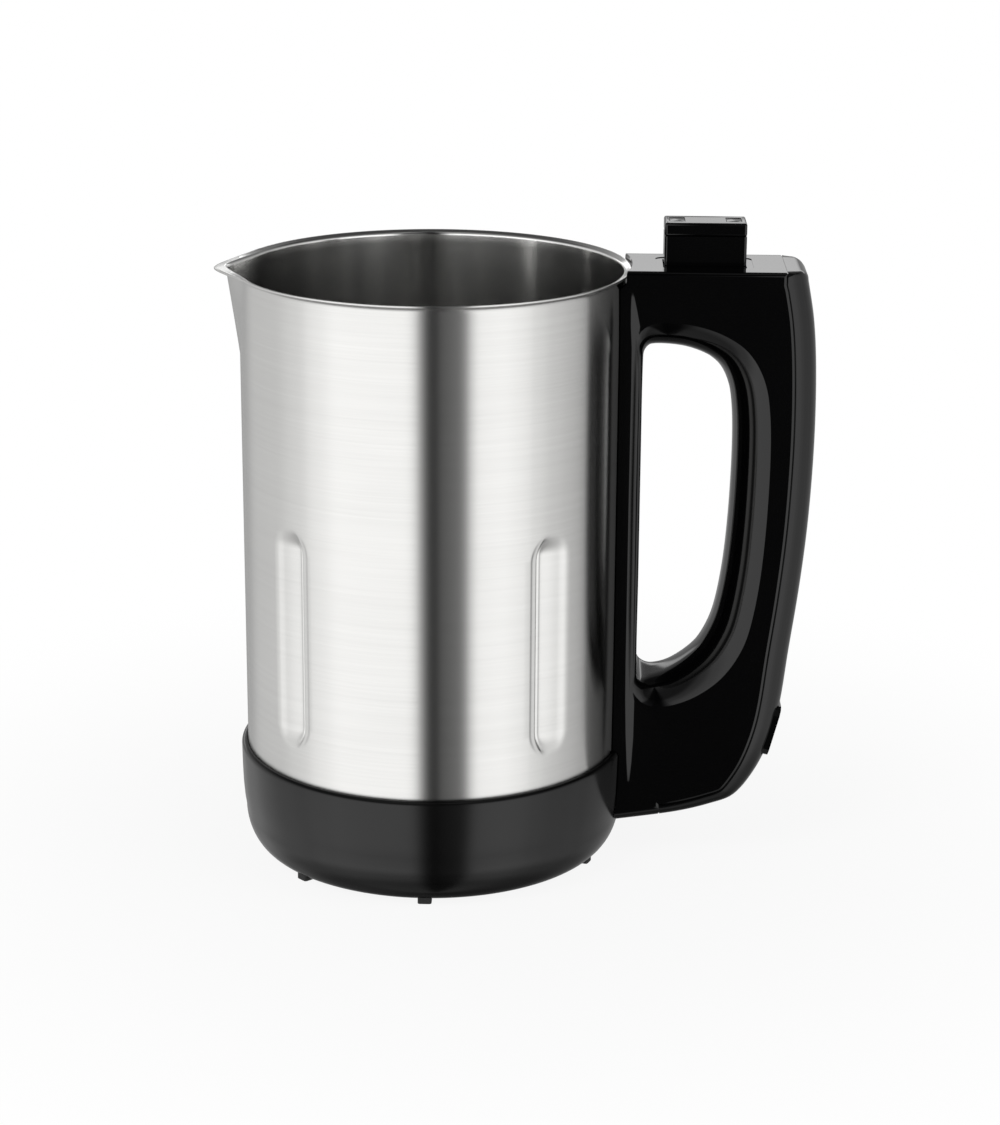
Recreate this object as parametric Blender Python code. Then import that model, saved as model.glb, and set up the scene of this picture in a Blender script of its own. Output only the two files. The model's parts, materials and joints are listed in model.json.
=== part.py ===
"""Heated jug of a countertop soup blender, built as an assembly of its separate pieces.

+Z is up and the feet stand on z = 0. The handle points along +X and the pouring spout along -X.
Places are given from the jug's own axis; the assembly empty shifts them so that the whole part is centred.
"""
import math

import bmesh
import bpy
from mathutils import Matrix, Vector

MM = 0.001

# Fits that are the same all over the part
GAP = 0.3 * MM
OVERRUN = 3.0 * MM
MERGE = 0.002 * MM

# Jug: one drawn wall with its floor, lip, spout and flutes
JUG_R = 69.0 * MM
JUG_WALL = 0.8 * MM
JUG_FLOOR_Z = 33.0 * MM
JUG_CORNER_R = 6.0 * MM
RIM_Z = 219.6 * MM
LIP_OVERHANG = 2.0 * MM
LIP_DROP = 2.2 * MM
LIP_SLOPE = 0.7 * MM
LIP_ROOT_SHARE = 0.3
CORNER_ANGLES = (0, math.radians(35.0), math.radians(65.0))
SPOUT_NOSE = 5.2 * MM
SPOUT_DROP = 34.7 * MM
SPOUT_LIP_EXTRA = 2.1 * MM
SPOUT_LIP_DIP = 1.4 * MM
SPOUT_LIP_CURVE = 0.6
SPOUT_TOP_ANGLE = math.radians(24.0)
SPOUT_FOOT_ANGLE = math.radians(17.0)
SPOUT_NOSE_ANGLE = math.radians(4.5)
FLUTE_DEPTH = 1.8 * MM
FLUTE_WIDTH = 19.0 * MM
FLUTE_FOOT_Z = 53.5 * MM
FLUTE_LENGTH = 82.5 * MM
FLUTE_END = 10.0 * MM
FLUTE_DEEPEST_SHARE = 0.4
FLUTE_COLUMN_SHARES = (-1, -0.45, FLUTE_DEEPEST_SHARE, 0.75, 1)
FLUTE_ROW_SHARES = (0, 0.12, 0.5, 1)
SPOUT_COLUMN_SHARES = (0, 0.18, 0.5, 0.85, 1)
COLUMN_ANGLE = math.radians(9.5)
FLUTE_ANGLES = (math.radians(-50.0), math.radians(-134.1), math.radians(134.1), math.radians(50.0))

# Base housing
BASE_TOP_Z = 42.0 * MM
BASE_WALL = 2.5 * MM
BASE_STEP = 2.5 * MM
BASE_DRAFT = 1.3 * MM
BASE_SHOULDER = 1.6 * MM
SHOULDER_SHARES = ((1, 0), (0.35, 0.3), (0, 1))
BASE_SIDE_SHARES = ((0.15, 0.5),)
KNEE_ANGLES = tuple(math.radians(d) for d in (0, 24, 46, 68, 90))
KNEE_INSIDE_ANGLES = tuple(math.radians(d) for d in (45, 90))
BASE_KNEE_Z = 17.0 * MM
BASE_KNEE_RUN = 10.5 * MM
BASE_UNDER_Z = 1.4 * MM
SHELF_Z = 29.4 * MM
SHELF_THICK = 2.4 * MM
GASKET_INSET = 8.1 * MM
GASKET_WIDTH = 4.0 * MM
TURN_STEPS = 54

# Feet
FOOT_INSET = 8.4 * MM
FOOT_LENGTH = 5.0 * MM
FOOT_WIDTH = 5.0 * MM
FOOT_SEAT = 1.6 * MM
FOOT_ANGLES = tuple(math.radians(a) for a in (-137.0, -90.0, -20.5, 20.5, 90.0, 137.0))

# Heater under the jug's floor
PLATE_CLEAR = 1.6 * MM
PLATE_THICK = 3.2 * MM
ELEMENT_SHARE = 0.731
ELEMENT_TUBE_R = 3.3 * MM
ELEMENT_OPEN_ANGLE = math.radians(26.0)
ELEMENT_TURN_R = 5.0 * MM
ELEMENT_TAIL = 4.0 * MM
ELEMENT_STEPS = 22
TERMINAL_R = 1.3 * MM
TERMINAL_LENGTH = 5.0 * MM
THERMOSTAT_R = 9.0 * MM
THERMOSTAT_HEIGHT = 8.0 * MM
THERMOSTAT_TAB = 6.0 * MM
TAB_WIDTH = 4.8 * MM
TAB_THICK = 0.8 * MM
FUSE_R = 2.1 * MM
FUSE_LENGTH = 12.0 * MM
FUSE_PLACE_SHARE = 0.385
CLIP_THICK = 1.0 * MM
CLIP_WIDTH = 6.0 * MM
SENSOR_R = 2.5 * MM
SENSOR_LENGTH = 11.0 * MM
SENSOR_PLACE_SHARE = -0.385
HOLDER_LENGTH = 18.0 * MM

# Fixings between the jug and the base
STANDOFF_R = 3.5 * MM
STANDOFF_LENGTH = 18.0 * MM
STANDOFF_ANGLES = tuple(math.radians(a) for a in (60.0, 180.0, -60.0))
M4_R = 2.0 * MM
M4_HEAD_R = 3.6 * MM
M4_HEAD_THICK = 2.2 * MM
BOSS_WALL = 2.2 * MM

# Handle: a hollow loop, with a back cover that closes it
HANDLE_HALF = 18.0 * MM
HANDLE_RISE = 1.8 * MM
HANDLE_DEPTH = 68.7 * MM
HANDLE_WALL = 2.5 * MM
HANDLE_TOP_WALL = 4.2 * MM
HANDLE_FRONT_INSET = 9.0 * MM
TOP_CORNER_R = 4.0 * MM
TOP_CORNER_INSET = 4.3 * MM
CORNER_PINCH_SHARE = 0.09
TOP_EDGE_R = 1.2 * MM
BACK_EDGE_R = 8.0 * MM
UNDER_EDGE_R = 5.0 * MM
EDGE_LEAN = math.radians(17.0)
SEAM_TOP_INSET = 12.4 * MM
SEAM_FOOT_RUN = 15.7 * MM
CAVITY_FRONT_RUN = 9.0 * MM
GRIP_WALL_MIN = 0.5 * MM

# Outline of the handle's back and underside: shares of its reach past the jug wall and of its top height
BACK_SHARES = (
    (0.974, 0.917), (0.993, 0.845), (1.000, 0.750), (0.994, 0.655), (0.977, 0.560), (0.946, 0.461),
    (0.905, 0.361), (0.863, 0.257), (0.809, 0.194), (0.737, 0.146), (0.640, 0.1085), (0.509, 0.0915),
    (0.349, 0.078), (0.160, 0.068), (-0.131, 0.0552),
)
# Outline of the finger opening, from its top front corner round the grip and back up the jug side
OPENING_SHARES = (
    (0.093, 0.861), (0.105, 0.870), (0.140, 0.8738), (0.247, 0.8726), (0.342, 0.8668), (0.437, 0.8535),
    (0.502, 0.8347), (0.544, 0.804), (0.566, 0.763), (0.5735, 0.709), (0.5706, 0.637), (0.560, 0.565),
    (0.541, 0.497), (0.509, 0.434), (0.474, 0.3975), (0.415, 0.3636), (0.335, 0.3379), (0.247, 0.3189),
    (0.175, 0.3117), (0.134, 0.3139), (0.105, 0.323), (0.093, 0.339), (0.093, 0.500), (0.093, 0.700),
)
# How far the opening's edge rolls outward at each of those points, as shares of half the handle's width
OPENING_ROLL_SHARES = (
    0.08, 0.24, 0.46, 0.53, 0.56, 0.62, 0.68, 0.72, 0.72, 0.72, 0.72, 0.72,
    0.72, 0.72, 0.72, 0.68, 0.62, 0.54, 0.46, 0.36, 0.20, 0.08, 0.06, 0.06,
)
STATION_SHARES = (0.28, 0.60, 0.82, 0.95, 1.0)
BACK_STEPS = 28
OPENING_STEPS = 48
CORNER_STEPS = 4

# Brackets and screws that hold the handle to the jug
BRACKET_WIDTH = 16.0 * MM
BRACKET_HEIGHT = 10.0 * MM
BRACKET_DEPTH = 5.0 * MM
UPPER_BRACKET_DROP = 15.5 * MM
LOWER_BRACKET_SHARE = 0.5185
HANDLE_SCREW_LENGTH = 5.0 * MM
M4_BORE = 2.3 * MM

# Coupler block on the handle's top
COUPLER_CLEAR = 1.8 * MM
COUPLER_LENGTH = 29.0 * MM
COUPLER_WIDTH = 15.4 * MM
COUPLER_RISE = 15.6 * MM
COUPLER_WALL = 1.6 * MM
COUPLER_EDGE = 0.9 * MM
CAP_HEIGHT = 4.7 * MM
POCKET_DEPTH = 0.7 * MM
POCKET_LENGTH = 34.4 * MM
POCKET_WIDTH = 21.2 * MM
POCKET_CORNER = 3.0 * MM
FLANGE_THICK = 2.0 * MM
FLANGE_LENGTH = 34.0 * MM
FLANGE_HALF = 15.0 * MM
COUPLER_SCREW_Y = 12.8 * MM
SMALL_SCREW_R = 1.2 * MM
SMALL_HEAD_R = 2.3 * MM
SMALL_HEAD_THICK = 1.6 * MM
COUPLER_SCREW_BITE = 3.0 * MM
SLOT_LENGTH = 5.6 * MM
SLOT_WIDTH = 8.4 * MM
SLOT_INSET = 4.2 * MM
CARRIER_HEIGHT = 12.0 * MM
CONTACT_LENGTH = 4.4 * MM
CONTACT_THICK = 0.9 * MM
CONTACT_PITCH = 2.8 * MM
CONTACT_HEIGHT = 20.0 * MM

# Mains inlet low on the back cover, tilted to face slightly down
INLET_HEIGHT_SHARE = 0.2195
INLET_TILT = math.radians(14.5)
INLET_WIDTH = 27.0 * MM
INLET_HEIGHT = 19.4 * MM
INLET_CORNER = 3.0 * MM
INLET_PROUD = 0.3 * MM
INLET_DEPTH = 20.0 * MM
SOCKET_WIDTH = 23.0 * MM
SOCKET_HEIGHT = 15.4 * MM
SOCKET_DEPTH = 16.0 * MM
SOCKET_CORNER = 1.5 * MM
EAR_THICK = 2.0 * MM
EAR_REACH = 5.2 * MM
EAR_HALF = 6.0 * MM
EAR_SET_IN = 5.2 * MM
PIN_WIDTH = 4.0 * MM
PIN_THICK = 2.0 * MM
PIN_LENGTH = 17.0 * MM
PIN_PITCH = 7.0 * MM
PIN_EARTH_RISE = 2.0 * MM
INLET_SCREW_BITE = 2.4 * MM
INLET_BOSS_R = 2.6 * MM

# Leads, and the channel that they run through from the handle into the base
LEAD_R = 1.1 * MM
LEAD_STEPS = 20
CHANNEL_HALF = 8.0 * MM
CHANNEL_LOW_Z = 18.5 * MM
CHANNEL_HEIGHT = 8.0 * MM

# Routes of the leads, chosen by hand: in the handle, shares of its depth past the jug wall and its top height
MAINS_ROUTE_SHARES = (
    (0.4731, 0.2823), (0.575, 0.3162), (0.6841, 0.3523), (0.7496, 0.4155), (0.7569, 0.5194),
    (0.7569, 0.6775), (0.7569, 0.813), (0.706, 0.8988), (0.6041, 0.9304),
)
GRIP_ROUTE_SHARES = (
    (0.3057, 0.9282), (0.4512, 0.9214), (0.5968, 0.8943), (0.6696, 0.8311), (0.6769, 0.6775),
    (0.6696, 0.4968), (0.6259, 0.4155), (0.5386, 0.3613), (0.4221, 0.3117), (0.3202, 0.2665),
    (0.2693, 0.2213), (0.2475, 0.1671),
)
# In the base: shares of the jug's radius along and across, and of the base's top height
FOOT_ROUTE_SHARES = ((1.2029, 0, 0.6548), (1.1159, 0, 0.5452), (1, 0, 0.5357))
HEATER_ROUTE_SHARES = ((0.8696, 0.0406, 0.5238), (0.7246, 0.087, 0.3333), (0.5797, 0.1522, 0.2048))
SENSOR_ROUTE_SHARES = (
    (0.8696, 0, 0.5238), (0.7246, 0, 0.3333), (0.5507, 0, 0.2143), (0.3188, -0.058, 0.2024),
    (0.1159, -0.2029, 0.2143),
)

HANDLE_TOP_Z = RIM_Z + HANDLE_RISE
HANDLE_REACH = JUG_R + HANDLE_DEPTH
COUPLER_TOP_Z = HANDLE_TOP_Z + COUPLER_RISE
LIP_R = JUG_R + LIP_OVERHANG
SPOUT_REACH = JUG_R + SPOUT_NOSE + LIP_OVERHANG + SPOUT_LIP_EXTRA
SPOUT_FOOT_Z = RIM_Z - SPOUT_DROP
PLATE_TOP_Z = JUG_FLOOR_Z - GAP
PLATE_LOW_Z = PLATE_TOP_Z - PLATE_THICK
ELEMENT_Z = PLATE_LOW_Z - GAP - ELEMENT_TUBE_R
BASE_R = JUG_R + BASE_STEP
FOOT_OUT_R = BASE_R - FOOT_INSET
GASKET_R = JUG_R - GASKET_INSET
STANDOFF_PITCH_R = GASKET_R - GAP - STANDOFF_R
PLATE_R = STANDOFF_PITCH_R - STANDOFF_R - PLATE_CLEAR
ELEMENT_R = PLATE_R * ELEMENT_SHARE
FUSE_Y = PLATE_R * FUSE_PLACE_SHARE
SENSOR_Y = PLATE_R * SENSOR_PLACE_SHARE
COUPLER_X = JUG_R + CAVITY_FRONT_RUN + COUPLER_CLEAR + FLANGE_LENGTH / 2
INLET_Z = HANDLE_TOP_Z * INLET_HEIGHT_SHARE
CENTRE_X = (SPOUT_REACH - HANDLE_REACH) / 2


def clear_scene():
    for obj in list(bpy.data.objects):
        bpy.data.objects.remove(obj, do_unlink=True)


def make_material(name, colour, roughness, metallic=0.0):
    mat = bpy.data.materials.new(name)
    mat.use_nodes = True
    shader = mat.node_tree.nodes["Principled BSDF"]
    shader.inputs["Base Color"].default_value = (*colour, 1.0)
    shader.inputs["Roughness"].default_value = roughness
    shader.inputs["Metallic"].default_value = metallic
    return mat


def make_object(name, mesh, mat):
    obj = bpy.data.objects.new(name, mesh)
    bpy.context.scene.collection.objects.link(obj)
    obj.parent = ASSEMBLY
    if mat is not None:
        mesh.materials.clear()
        mesh.materials.append(mat)
        mesh.shade_smooth()
        mesh.set_sharp_from_angle(angle=math.radians(32.0))
    return obj


def as_cutter(obj):
    obj.hide_render = True
    obj.display_type = 'WIRE'
    return obj


def combine(obj, other, operation):
    step = obj.modifiers.new(other.name, 'BOOLEAN')
    step.operation = operation
    step.solver = 'EXACT'
    step.object = as_cutter(other)
    return obj


def cut(obj, *cutters):
    for cutter in cutters:
        combine(obj, cutter, 'DIFFERENCE')
    return obj


def fuse(obj, *others):
    for other in others:
        combine(obj, other, 'UNION')
    return obj


def close_mesh(bm, name):
    bmesh.ops.remove_doubles(bm, verts=bm.verts, dist=MERGE)
    bmesh.ops.recalc_face_normals(bm, faces=bm.faces)
    mesh = bpy.data.meshes.new(name)
    bm.to_mesh(mesh)
    bm.free()
    return mesh


def turned(name, profile, mat=None, steps=TURN_STEPS):
    """A (radius, height) profile turned round the jug's axis, from axis to axis or closed on itself."""
    bm = bmesh.new()
    verts = [bm.verts.new((r, 0, z)) for r, z in profile]
    pairs = list(zip(verts, verts[1:]))
    if profile[0][0] > 0:
        pairs.append((verts[-1], verts[0]))
    edges = [bm.edges.new(pair) for pair in pairs]
    bmesh.ops.spin(bm, geom=verts + edges, cent=(0, 0, 0), axis=(0, 0, 1), angle=2 * math.pi,
                   steps=steps, use_merge=True)
    return make_object(name, close_mesh(bm, name), mat)


def block(name, size, centre, mat=None, bevel=0, turn=None, rounded='ALL'):
    """A box of this size about its centre, its edges rounded, turned by a rotation matrix."""
    bm = bmesh.new()
    bmesh.ops.create_cube(bm, size=1)
    bmesh.ops.scale(bm, vec=Vector(size), verts=bm.verts)
    if bevel:
        edges = list(bm.edges)
        if rounded != 'ALL':
            axis = 'XYZ'.index(rounded)
            edges = [e for e in edges if abs((e.verts[0].co - e.verts[1].co)[axis]) > MERGE]
        bmesh.ops.bevel(bm, geom=edges, offset=bevel, segments=2, profile=0.5, affect='EDGES')
    place(bm, centre, turn)
    return make_object(name, close_mesh(bm, name), mat)


def rod(name, radius, length, centre, mat=None, turn=None, sides=20):
    """A round bar along Z about its centre, before it is turned."""
    bm = bmesh.new()
    bmesh.ops.create_cone(bm, cap_ends=True, segments=sides, radius1=radius, radius2=radius, depth=length)
    place(bm, centre, turn)
    return make_object(name, close_mesh(bm, name), mat)


def place(bm, centre, turn):
    if turn is not None:
        bmesh.ops.transform(bm, matrix=turn, verts=bm.verts)
    bmesh.ops.translate(bm, vec=Vector(centre), verts=bm.verts)


def screw(name, mat, shank_r, head_r, head_thick, length, seat, direction, sides=16):
    """A pan-head screw: its head's seating face is at seat, and its shank runs along direction."""
    bm = bmesh.new()
    head = ((0, -head_thick), (head_r, -head_thick), (head_r, 0))
    shank = ((shank_r, 0), (shank_r, length), (0, length))
    verts = [bm.verts.new((r, 0, z)) for r, z in head + shank]
    edges = [bm.edges.new(pair) for pair in zip(verts, verts[1:])]
    bmesh.ops.spin(bm, geom=verts + edges, cent=(0, 0, 0), axis=(0, 0, 1), angle=2 * math.pi,
                   steps=sides, use_merge=True)
    turn = Vector((0, 0, 1)).rotation_difference(Vector(direction)).to_matrix().to_4x4()
    place(bm, seat, turn)
    return make_object(name, close_mesh(bm, name), mat)


def lofted(name, rings, mat=None):
    """A closed solid through rings of equally many points, with a flat cap on each end."""
    bm = bmesh.new()
    rows = [[bm.verts.new(p) for p in ring] for ring in rings]
    count = len(rings[0])
    for low, high in zip(rows, rows[1:]):
        for i in range(count):
            j = (i + 1) % count
            bm.faces.new((low[i], low[j], high[j], high[i]))
    bm.faces.new(rows[0])
    bm.faces.new(rows[-1])
    return make_object(name, close_mesh(bm, name), mat)


def prism(name, outline, half, mat=None):
    """An outline in the XZ plane, extruded to both sides of it."""
    return lofted(name, [[(x, y, z) for x, z in outline] for y in (-half, half)], mat)


def smooth_line(points, count, closed=False):
    """A smooth curve through the points, sampled at even shares of its spans. A short span turns tightly."""
    total = len(points)
    around = range(-1, total + 2)
    if closed:
        at = [Vector(points[i % total]) for i in around]
    else:
        at = [Vector(points[min(max(i, 0), total - 1)]) for i in around]
    runs = [max((b - a).length, MERGE) for a, b in zip(at, at[1:])]
    spans, samples = (total, count) if closed else (total - 1, count - 1)
    line = []
    for k in range(count):
        i = min(int(spans * k / samples), spans - 1)
        t = spans * k / samples - i
        a, b, c, d = at[i:i + 4]
        before, here, after = runs[i:i + 3]
        leave = (c - a) * (here / (before + here))
        arrive = (d - b) * (here / (here + after))
        on_chord = b + (c - b) * (t * t * (3 - 2 * t))
        line.append(on_chord + leave * (t * (1 - t) ** 2) - arrive * (t * t * (1 - t)))
    return line


def outward(points, closed):
    """Unit normals on the left of a clockwise line: away from the solid, or into it for an opening."""
    normals = []
    last = len(points) - 1
    for i in range(len(points)):
        if closed:
            before, after = points[i - 1], points[(i + 1) % len(points)]
        else:
            before, after = points[max(i - 1, 0)], points[min(i + 1, last)]
        run = (after - before).normalized()
        normals.append(Vector((-run.y, run.x)))
    return normals


def roll_in(radius, y, half):
    """Share, 0 to 1, of the way to the side outline at distance |y| from the middle. The rounded edge of this
    radius leaves the flat side at EDGE_LEAN, which shows as a crease."""
    if radius <= MERGE:
        return 0
    span = 1 - math.sin(EDGE_LEAN)
    depth = min(radius * math.cos(EDGE_LEAN) / span, half)
    run = min(max(abs(y) - (half - depth), 0), depth)
    return (1 - math.sqrt(1 - (math.cos(EDGE_LEAN) * run / depth) ** 2)) / span


# Jug


def wrap(angle):
    return (angle + math.pi) % (2 * math.pi) - math.pi


def spout_radius(phi, z):
    """Radius of the wall at this angle and height: flat spout faces that run off the round wall to a nose."""
    rise = min(max((z - SPOUT_FOOT_Z) / SPOUT_DROP, 0), 1)
    half = SPOUT_FOOT_ANGLE + (SPOUT_TOP_ANGLE - SPOUT_FOOT_ANGLE) * rise
    off = abs(wrap(phi - math.pi))
    if rise == 0 or off >= half:
        return JUG_R
    nose = JUG_R + SPOUT_NOSE * rise
    lean = math.atan2(nose - JUG_R * math.cos(half), JUG_R * math.sin(half))
    soft = SPOUT_NOSE_ANGLE * (1 - off / half)
    flat = nose * math.cos(lean) / math.cos(math.hypot(off, soft) - lean)
    return max(JUG_R, flat * (1 + (math.cos(soft - lean) / math.cos(lean) - 1) * (1 - off / half)))


def flute_push(phi, z):
    """How deep the wall is pressed in here. A flute is deepest on the side nearer the jug's front or back."""
    half_angle = FLUTE_WIDTH / 2 / JUG_R
    middle = FLUTE_FOOT_Z + FLUTE_LENGTH / 2
    into_end = (abs(z - middle) - (FLUTE_LENGTH / 2 - FLUTE_END)) / FLUTE_END
    if into_end >= 1:
        return 0
    width = math.sqrt(1 - max(into_end, 0) ** 2)
    for centre in FLUTE_ANGLES:
        side = 1 if math.cos(centre) * math.sin(centre) > 0 else -1
        s = wrap(phi - centre) / half_angle * side
        if abs(s) < width:
            s /= width
            deep = FLUTE_DEEPEST_SHARE
            slope = (s + 1) / (deep + 1) if s < deep else (1 - s) / (1 - deep)
            return FLUTE_DEPTH * slope * width
    return 0


def jug_columns():
    """Angles of the wall's columns: close together on the flutes and the spout, even elsewhere."""
    half_angle = FLUTE_WIDTH / 2 / JUG_R
    marks = []
    for centre in FLUTE_ANGLES:
        side = 1 if math.cos(centre) * math.sin(centre) > 0 else -1
        marks += [wrap(centre + side * half_angle * s) for s in FLUTE_COLUMN_SHARES]
    for share in SPOUT_COLUMN_SHARES:
        marks += [wrap(math.pi + SPOUT_TOP_ANGLE * share), wrap(math.pi - SPOUT_TOP_ANGLE * share)]
    marks = sorted(set(round(m, 6) for m in marks))
    columns = []
    for a, b in zip(marks, marks[1:] + [marks[0] + 2 * math.pi]):
        parts = max(1, math.ceil((b - a) / COLUMN_ANGLE))
        columns += [a + (b - a) * k / parts for k in range(parts)]
    return columns


def jug_rows():
    """(inset of the radius, height, lip share) for each row, up the outside and down the inside."""
    flute = [FLUTE_END * share for share in FLUTE_ROW_SHARES]
    wall = [JUG_FLOOR_Z + JUG_CORNER_R] + [FLUTE_FOOT_Z + rise for rise in flute]
    wall += [FLUTE_FOOT_Z + FLUTE_LENGTH - rise for rise in reversed(flute)]
    wall += [SPOUT_FOOT_Z, SPOUT_FOOT_Z + SPOUT_DROP / 3, SPOUT_FOOT_Z + SPOUT_DROP * 2 / 3, RIM_Z - LIP_DROP]
    corner = [(JUG_CORNER_R * (1 - math.sin(a)), JUG_FLOOR_Z + JUG_CORNER_R * (1 - math.cos(a)), 0)
              for a in CORNER_ANGLES]
    inner_r = JUG_CORNER_R - JUG_WALL
    inner_z = JUG_FLOOR_Z + JUG_WALL
    inner = [(JUG_WALL + inner_r * (1 - math.sin(a)), inner_z + inner_r * (1 - math.cos(a)), 0)
             for a in reversed(CORNER_ANGLES)]
    lip = [(0, RIM_Z - LIP_SLOPE - JUG_WALL, LIP_ROOT_SHARE), (0, RIM_Z - JUG_WALL, 1), (0, RIM_Z, 1),
           (0, RIM_Z - LIP_SLOPE, 0), (JUG_WALL, RIM_Z - LIP_SLOPE - JUG_WALL / 2, 0)]
    outside = [(0, z, 0) for z in wall]
    inside = [(JUG_WALL, z, 0) for z in reversed(wall)]
    return corner + outside + lip + inside + inner


def jug_point(phi, inset, z, lip):
    """A point of the wall. lip, 0 to 1, carries it out along the lip, which widens and dips at the spout."""
    nose = max(0, 1 - abs(wrap(phi - math.pi)) / SPOUT_TOP_ANGLE)
    r = spout_radius(phi, z) - inset - flute_push(phi, z)
    r += lip * (LIP_OVERHANG + SPOUT_LIP_EXTRA * nose ** SPOUT_LIP_CURVE)
    z -= lip * SPOUT_LIP_DIP * nose
    return (r * math.cos(phi), r * math.sin(phi), z)


def make_jug(mat):
    bm = bmesh.new()
    columns = jug_columns()
    rows = [[bm.verts.new(jug_point(phi, *row)) for phi in columns] for row in jug_rows()]
    count = len(columns)
    for low, high in zip(rows, rows[1:]):
        for i in range(count):
            j = (i + 1) % count
            bm.faces.new((low[i], low[j], high[j], high[i]))
    bm.faces.new(rows[0])
    bm.faces.new(rows[-1])
    return make_object("jug", close_mesh(bm, "jug"), mat)


# Base


def base_outside():
    """The base housing's outer profile from its top edge down to its flat underside."""
    side = BASE_R - BASE_DRAFT
    shoulder = [(BASE_R - BASE_SHOULDER * share, BASE_TOP_Z - BASE_SHOULDER * drop)
                for share, drop in SHOULDER_SHARES]
    wall = [(BASE_R - BASE_DRAFT * share, BASE_KNEE_Z + (BASE_TOP_Z - BASE_KNEE_Z) * rise)
            for share, rise in BASE_SIDE_SHARES]
    knee_height = BASE_KNEE_Z - BASE_UNDER_Z
    knee = [(side - BASE_KNEE_RUN * (1 - math.cos(a)), BASE_KNEE_Z - knee_height * math.sin(a))
            for a in KNEE_ANGLES]
    return shoulder + wall + knee


def make_base_housing(mat):
    outside = base_outside()
    floor = BASE_UNDER_Z + BASE_WALL
    inner_wall = BASE_R - BASE_DRAFT - BASE_WALL
    knee_r = inner_wall - BASE_KNEE_RUN
    inside = [(JUG_R + GAP, BASE_TOP_Z), (JUG_R + GAP, SHELF_Z), (GASKET_R, SHELF_Z),
              (GASKET_R, SHELF_Z - SHELF_THICK), (inner_wall, SHELF_Z - SHELF_THICK),
              (inner_wall, BASE_KNEE_Z)]
    inside += [(knee_r + BASE_KNEE_RUN * math.cos(a), BASE_KNEE_Z - (BASE_KNEE_Z - floor) * math.sin(a))
               for a in KNEE_INSIDE_ANGLES]
    profile = [(0, BASE_UNDER_Z)] + outside[::-1] + inside + [(0, floor)]
    base = turned("base_housing", profile, mat)
    boss_top = standoff_low() - GAP
    for k, angle in enumerate(STANDOFF_ANGLES):
        x, y = STANDOFF_PITCH_R * math.cos(angle), STANDOFF_PITCH_R * math.sin(angle)
        low = floor - BASE_WALL / 2
        boss = rod("boss_%d" % k, M4_R + GAP + BOSS_WALL, boss_top - low, (x, y, (boss_top + low) / 2))
        fuse(base, boss)
    for k, angle in enumerate(STANDOFF_ANGLES):
        x, y = STANDOFF_PITCH_R * math.cos(angle), STANDOFF_PITCH_R * math.sin(angle)
        bore = rod("base_bore_%d" % k, M4_R + GAP, boss_top + 2 * OVERRUN, (x, y, boss_top / 2))
        sink_top = head_seat() + GAP
        sink = rod("base_sink_%d" % k, M4_HEAD_R + GAP, sink_top + OVERRUN, (x, y, (sink_top - OVERRUN) / 2))
        cut(base, bore, sink)
    for k, angle in enumerate(FOOT_ANGLES):
        cut(base, foot_block("foot_seat_%d" % k, angle, GAP, None))
    middle_z = CHANNEL_LOW_Z + CHANNEL_HEIGHT / 2
    opening = block("base_lead_hole", (BASE_WALL * 4, CHANNEL_HALF * 2, CHANNEL_HEIGHT - 2 * GAP),
                    (BASE_R, 0, middle_z), None, BASE_WALL / 2, None, 'X')
    return cut(base, opening)


def head_seat():
    """Height of the base screws' heads' seating face, inside the countersinks."""
    return BASE_UNDER_Z + M4_HEAD_THICK + GAP


def standoff_low():
    return JUG_FLOOR_Z - GAP - STANDOFF_LENGTH


def foot_block(name, angle, grow, mat):
    """A foot, or with grow the pocket it sits in."""
    top = BASE_UNDER_Z + FOOT_SEAT
    low = -OVERRUN if grow else 0
    length = FOOT_LENGTH + 2 * grow
    r = FOOT_OUT_R - FOOT_LENGTH / 2
    turn = Matrix.Rotation(angle, 4, 'Z')
    centre = (r * math.cos(angle), r * math.sin(angle), (top + grow + low) / 2)
    size = (length, FOOT_WIDTH + 2 * grow, top + grow - low)
    return block(name, size, centre, mat, FOOT_WIDTH / 6, turn, 'Z')


def make_base(black, rubber, steel):
    make_base_housing(black)
    for k, angle in enumerate(FOOT_ANGLES):
        foot_block("foot_%d" % (k + 1), angle, 0, rubber)
    top = JUG_FLOOR_Z - GAP
    turned("base_gasket", [(GASKET_R, SHELF_Z + GAP), (GASKET_R + GASKET_WIDTH, SHELF_Z + GAP),
                           (GASKET_R + GASKET_WIDTH, top), (GASKET_R, top)], rubber)
    for k, angle in enumerate(STANDOFF_ANGLES):
        x, y = STANDOFF_PITCH_R * math.cos(angle), STANDOFF_PITCH_R * math.sin(angle)
        standoff = rod("standoff_%d" % (k + 1), STANDOFF_R, STANDOFF_LENGTH,
                       (x, y, standoff_low() + STANDOFF_LENGTH / 2), steel, None, 6)
        bite = STANDOFF_LENGTH / 2
        bore_z = standoff_low() + (bite - OVERRUN) / 2
        bore = rod("standoff_bore_%d" % k, M4_R + GAP, bite + OVERRUN, (x, y, bore_z))
        cut(standoff, bore)
        length = standoff_low() + bite - GAP - head_seat()
        screw("base_screw_%d" % (k + 1), steel, M4_R, M4_HEAD_R, M4_HEAD_THICK, length,
              (x, y, head_seat()), (0, 0, 1))


# Heater


def tube(name, points, radius, mat, resolution=2):
    """A round wire or tube along these points."""
    curve = bpy.data.curves.new(name, 'CURVE')
    curve.dimensions = '3D'
    curve.bevel_depth = radius
    curve.bevel_resolution = resolution
    curve.render_resolution_u = 0
    curve.use_fill_caps = True
    spline = curve.splines.new('POLY')
    spline.points.add(len(points) - 1)
    for target, p in zip(spline.points, points):
        target.co = (*p, 1.0)
    curve.materials.append(mat)
    obj = bpy.data.objects.new(name, curve)
    bpy.context.scene.collection.objects.link(obj)
    obj.parent = ASSEMBLY
    return obj


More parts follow.
